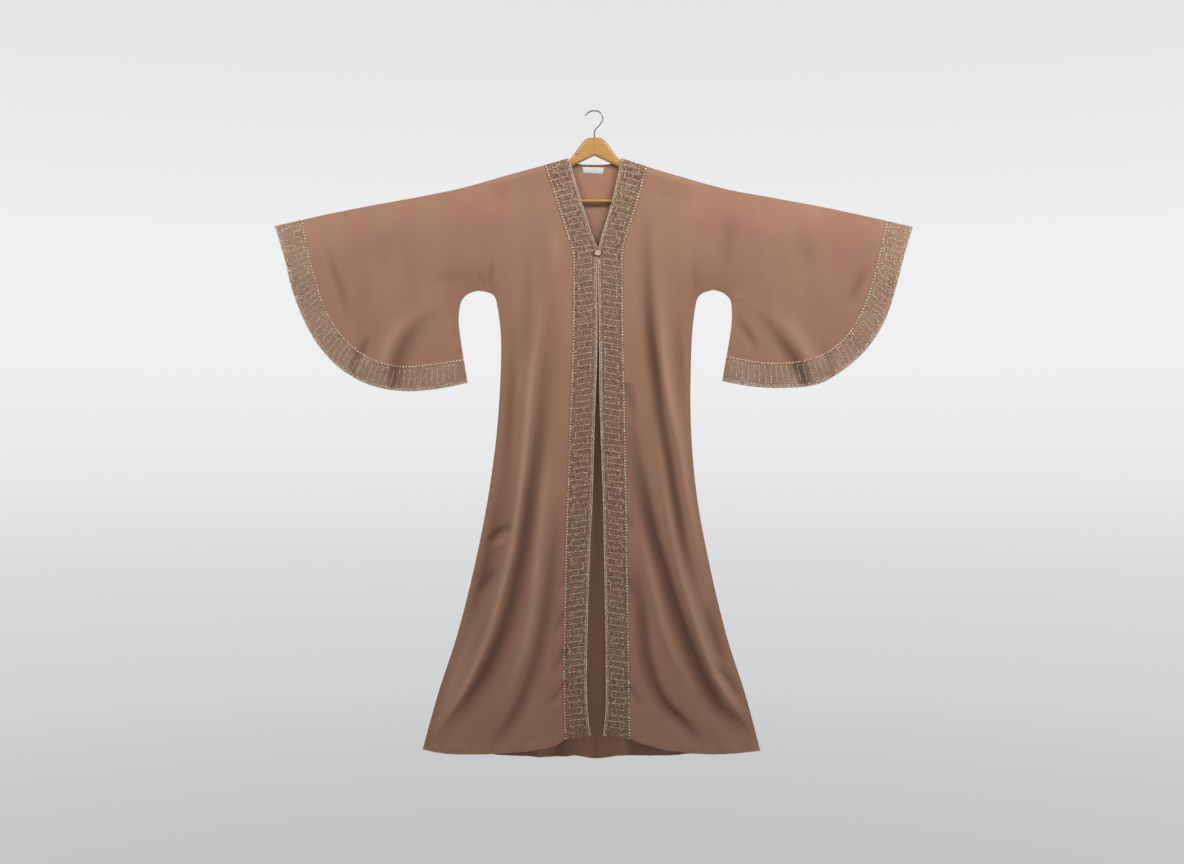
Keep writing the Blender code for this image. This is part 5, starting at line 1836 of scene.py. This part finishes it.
@dataclass
class Studio:
    """The pale seamless studio, its soft lights and the camera."""

    frame_width: float = 2.8416
    centre: Point2 = (-0.0060, -0.7730)
    lens: float = 50.0
    sensor: float = 36.0
    front_y: float = -0.020
    aim_z: float = -0.20
    floor_z: float = -2.15
    flat_radius: float = 5.2
    sweep: float = 2.6
    wall_top: float = 6.5
    paper_radii: tuple[float, ...] = (0.8, 2.0, 2.8, 3.6, 4.4)
    paper_heights: tuple[float, ...] = (1.2, 2.0, 3.0)
    sides: int = 96
    floor_radii: tuple[float, ...] = (1.0, 2.0, 3.6, 5.2)
    floor_light: tuple[float, ...] = (0.500, 0.520, 0.570, 0.630)
    wall_heights: tuple[float, ...] = (-2.15, -1.60, -1.00, -0.20, 0.60, 1.30, 2.40)
    wall_light: tuple[float, ...] = (0.630, 0.700, 0.800, 0.860, 0.860, 0.810, 0.760)
    sky: Colour = (0.93, 0.955, 1.0)
    sky_strength: float = 0.075

    def build(self) -> None:
        """Set the studio up."""
        self.build_paper()
        self.build_lights()
        self.build_world()
        self.build_camera()
        bpy.context.scene.view_settings.view_transform = "Standard"

    def build_paper(self) -> None:
        """A round sheet of paper that sweeps up far behind, all round."""
        bend = [(self.flat_radius + self.sweep * math.sin(t),
                 self.floor_z + self.sweep * (1 - math.cos(t)))
                for t in np.linspace(0.0, math.pi / 2, 20)]
        profile = [(r, self.floor_z) for r in self.paper_radii] + bend
        profile += [(self.flat_radius + self.sweep, z) for z in (*self.paper_heights, self.wall_top)]
        light = [np.interp(r, self.floor_radii, self.floor_light) if z == self.floor_z
                 else np.interp(z, self.wall_heights, self.wall_light) for r, z in profile]
        sides = self.sides
        angles = 2 * np.pi * np.arange(sides) / sides
        points = [(r * math.cos(a), r * math.sin(a), z) for r, z in profile for a in angles]
        points.append((0.0, 0.0, self.floor_z))
        faces = [tuple(reversed(quad)) for quad in grid(len(profile), sides, True)]
        faces += [(len(points) - 1, j, (j + 1) % sides) for j in range(sides)]
        mesh = bpy.data.meshes.new("studio_floor")
        mesh.from_pydata(points, [], faces)
        mesh.shade_smooth()
        store(mesh, "light", np.concatenate([np.repeat(light, sides), light[:1]]))
        floor = linked("studio_floor", mesh, StudioPaper().make())
        floor.visible_diffuse = False

    def build_lights(self) -> None:
        """A large key above the front, weaker fills at the sides and one behind."""
        for name, place, size, power in (
                ("key right", (-1.18, -1.20, 0.98), (1.2, 0.5), 22.5),
                ("key left", (1.28, -1.20, 0.98), (1.2, 0.5), 29.0),
                ("front", (0.15, -3.60, -1.00), (0.9, 1.2), 11.5),
                ("fill right", (-2.6, -1.2, -0.1), (1.2, 1.6), 2.5),
                ("fill left", (2.6, -1.2, -0.1), (1.2, 1.6), 5.0),
                ("behind", (0.0, 2.2, 1.2), (2.6, 1.2), 40.0)):
            data = bpy.data.lights.new(name, "AREA")
            data.shape = "RECTANGLE"
            data.size, data.size_y = size
            data.energy = power
            light = bpy.data.objects.new(name, data)
            bpy.context.scene.collection.objects.link(light)
            light.location = place
            light.visible_camera = False
            aim = Vector((0.5 * place[0], 0.0, self.aim_z + 0.5 * min(place[2], 0.0)))
            aim -= Vector(place)
            light.rotation_mode = "QUATERNION"
            light.rotation_quaternion = aim.to_track_quat("-Z", "Y")

    def build_world(self) -> None:
        """A pale even sky over the studio."""
        world = bpy.data.worlds.new("studio sky")
        world.use_nodes = True
        background = world.node_tree.nodes["Background"]
        background.inputs["Color"].default_value = (*self.sky, 1.0)
        background.inputs["Strength"].default_value = self.sky_strength
        bpy.context.scene.world = world

    def build_camera(self) -> None:
        """A camera straight in front, as far away as frames the photo's view."""
        data = bpy.data.cameras.new("camera")
        data.lens = self.lens
        data.sensor_width = self.sensor
        camera = bpy.data.objects.new("camera", data)
        bpy.context.scene.collection.objects.link(camera)
        away = self.frame_width * self.lens / self.sensor
        camera.location = (self.centre[0], self.front_y - away, self.centre[1])
        camera.rotation_euler = (math.pi / 2, 0.0, 0.0)
        bpy.context.scene.camera = camera


def main() -> None:
    """Build the studio, the hanger, the cloak and its fastening."""
    logging.basicConfig(level=logging.INFO, format="%(name)s %(message)s")
    Studio().build()
    finishes = Finishes()
    Hanger(finishes).build()
    Cloak(finishes).build()
    Fastening(finishes).build()


if __name__ == "__main__":
    main()
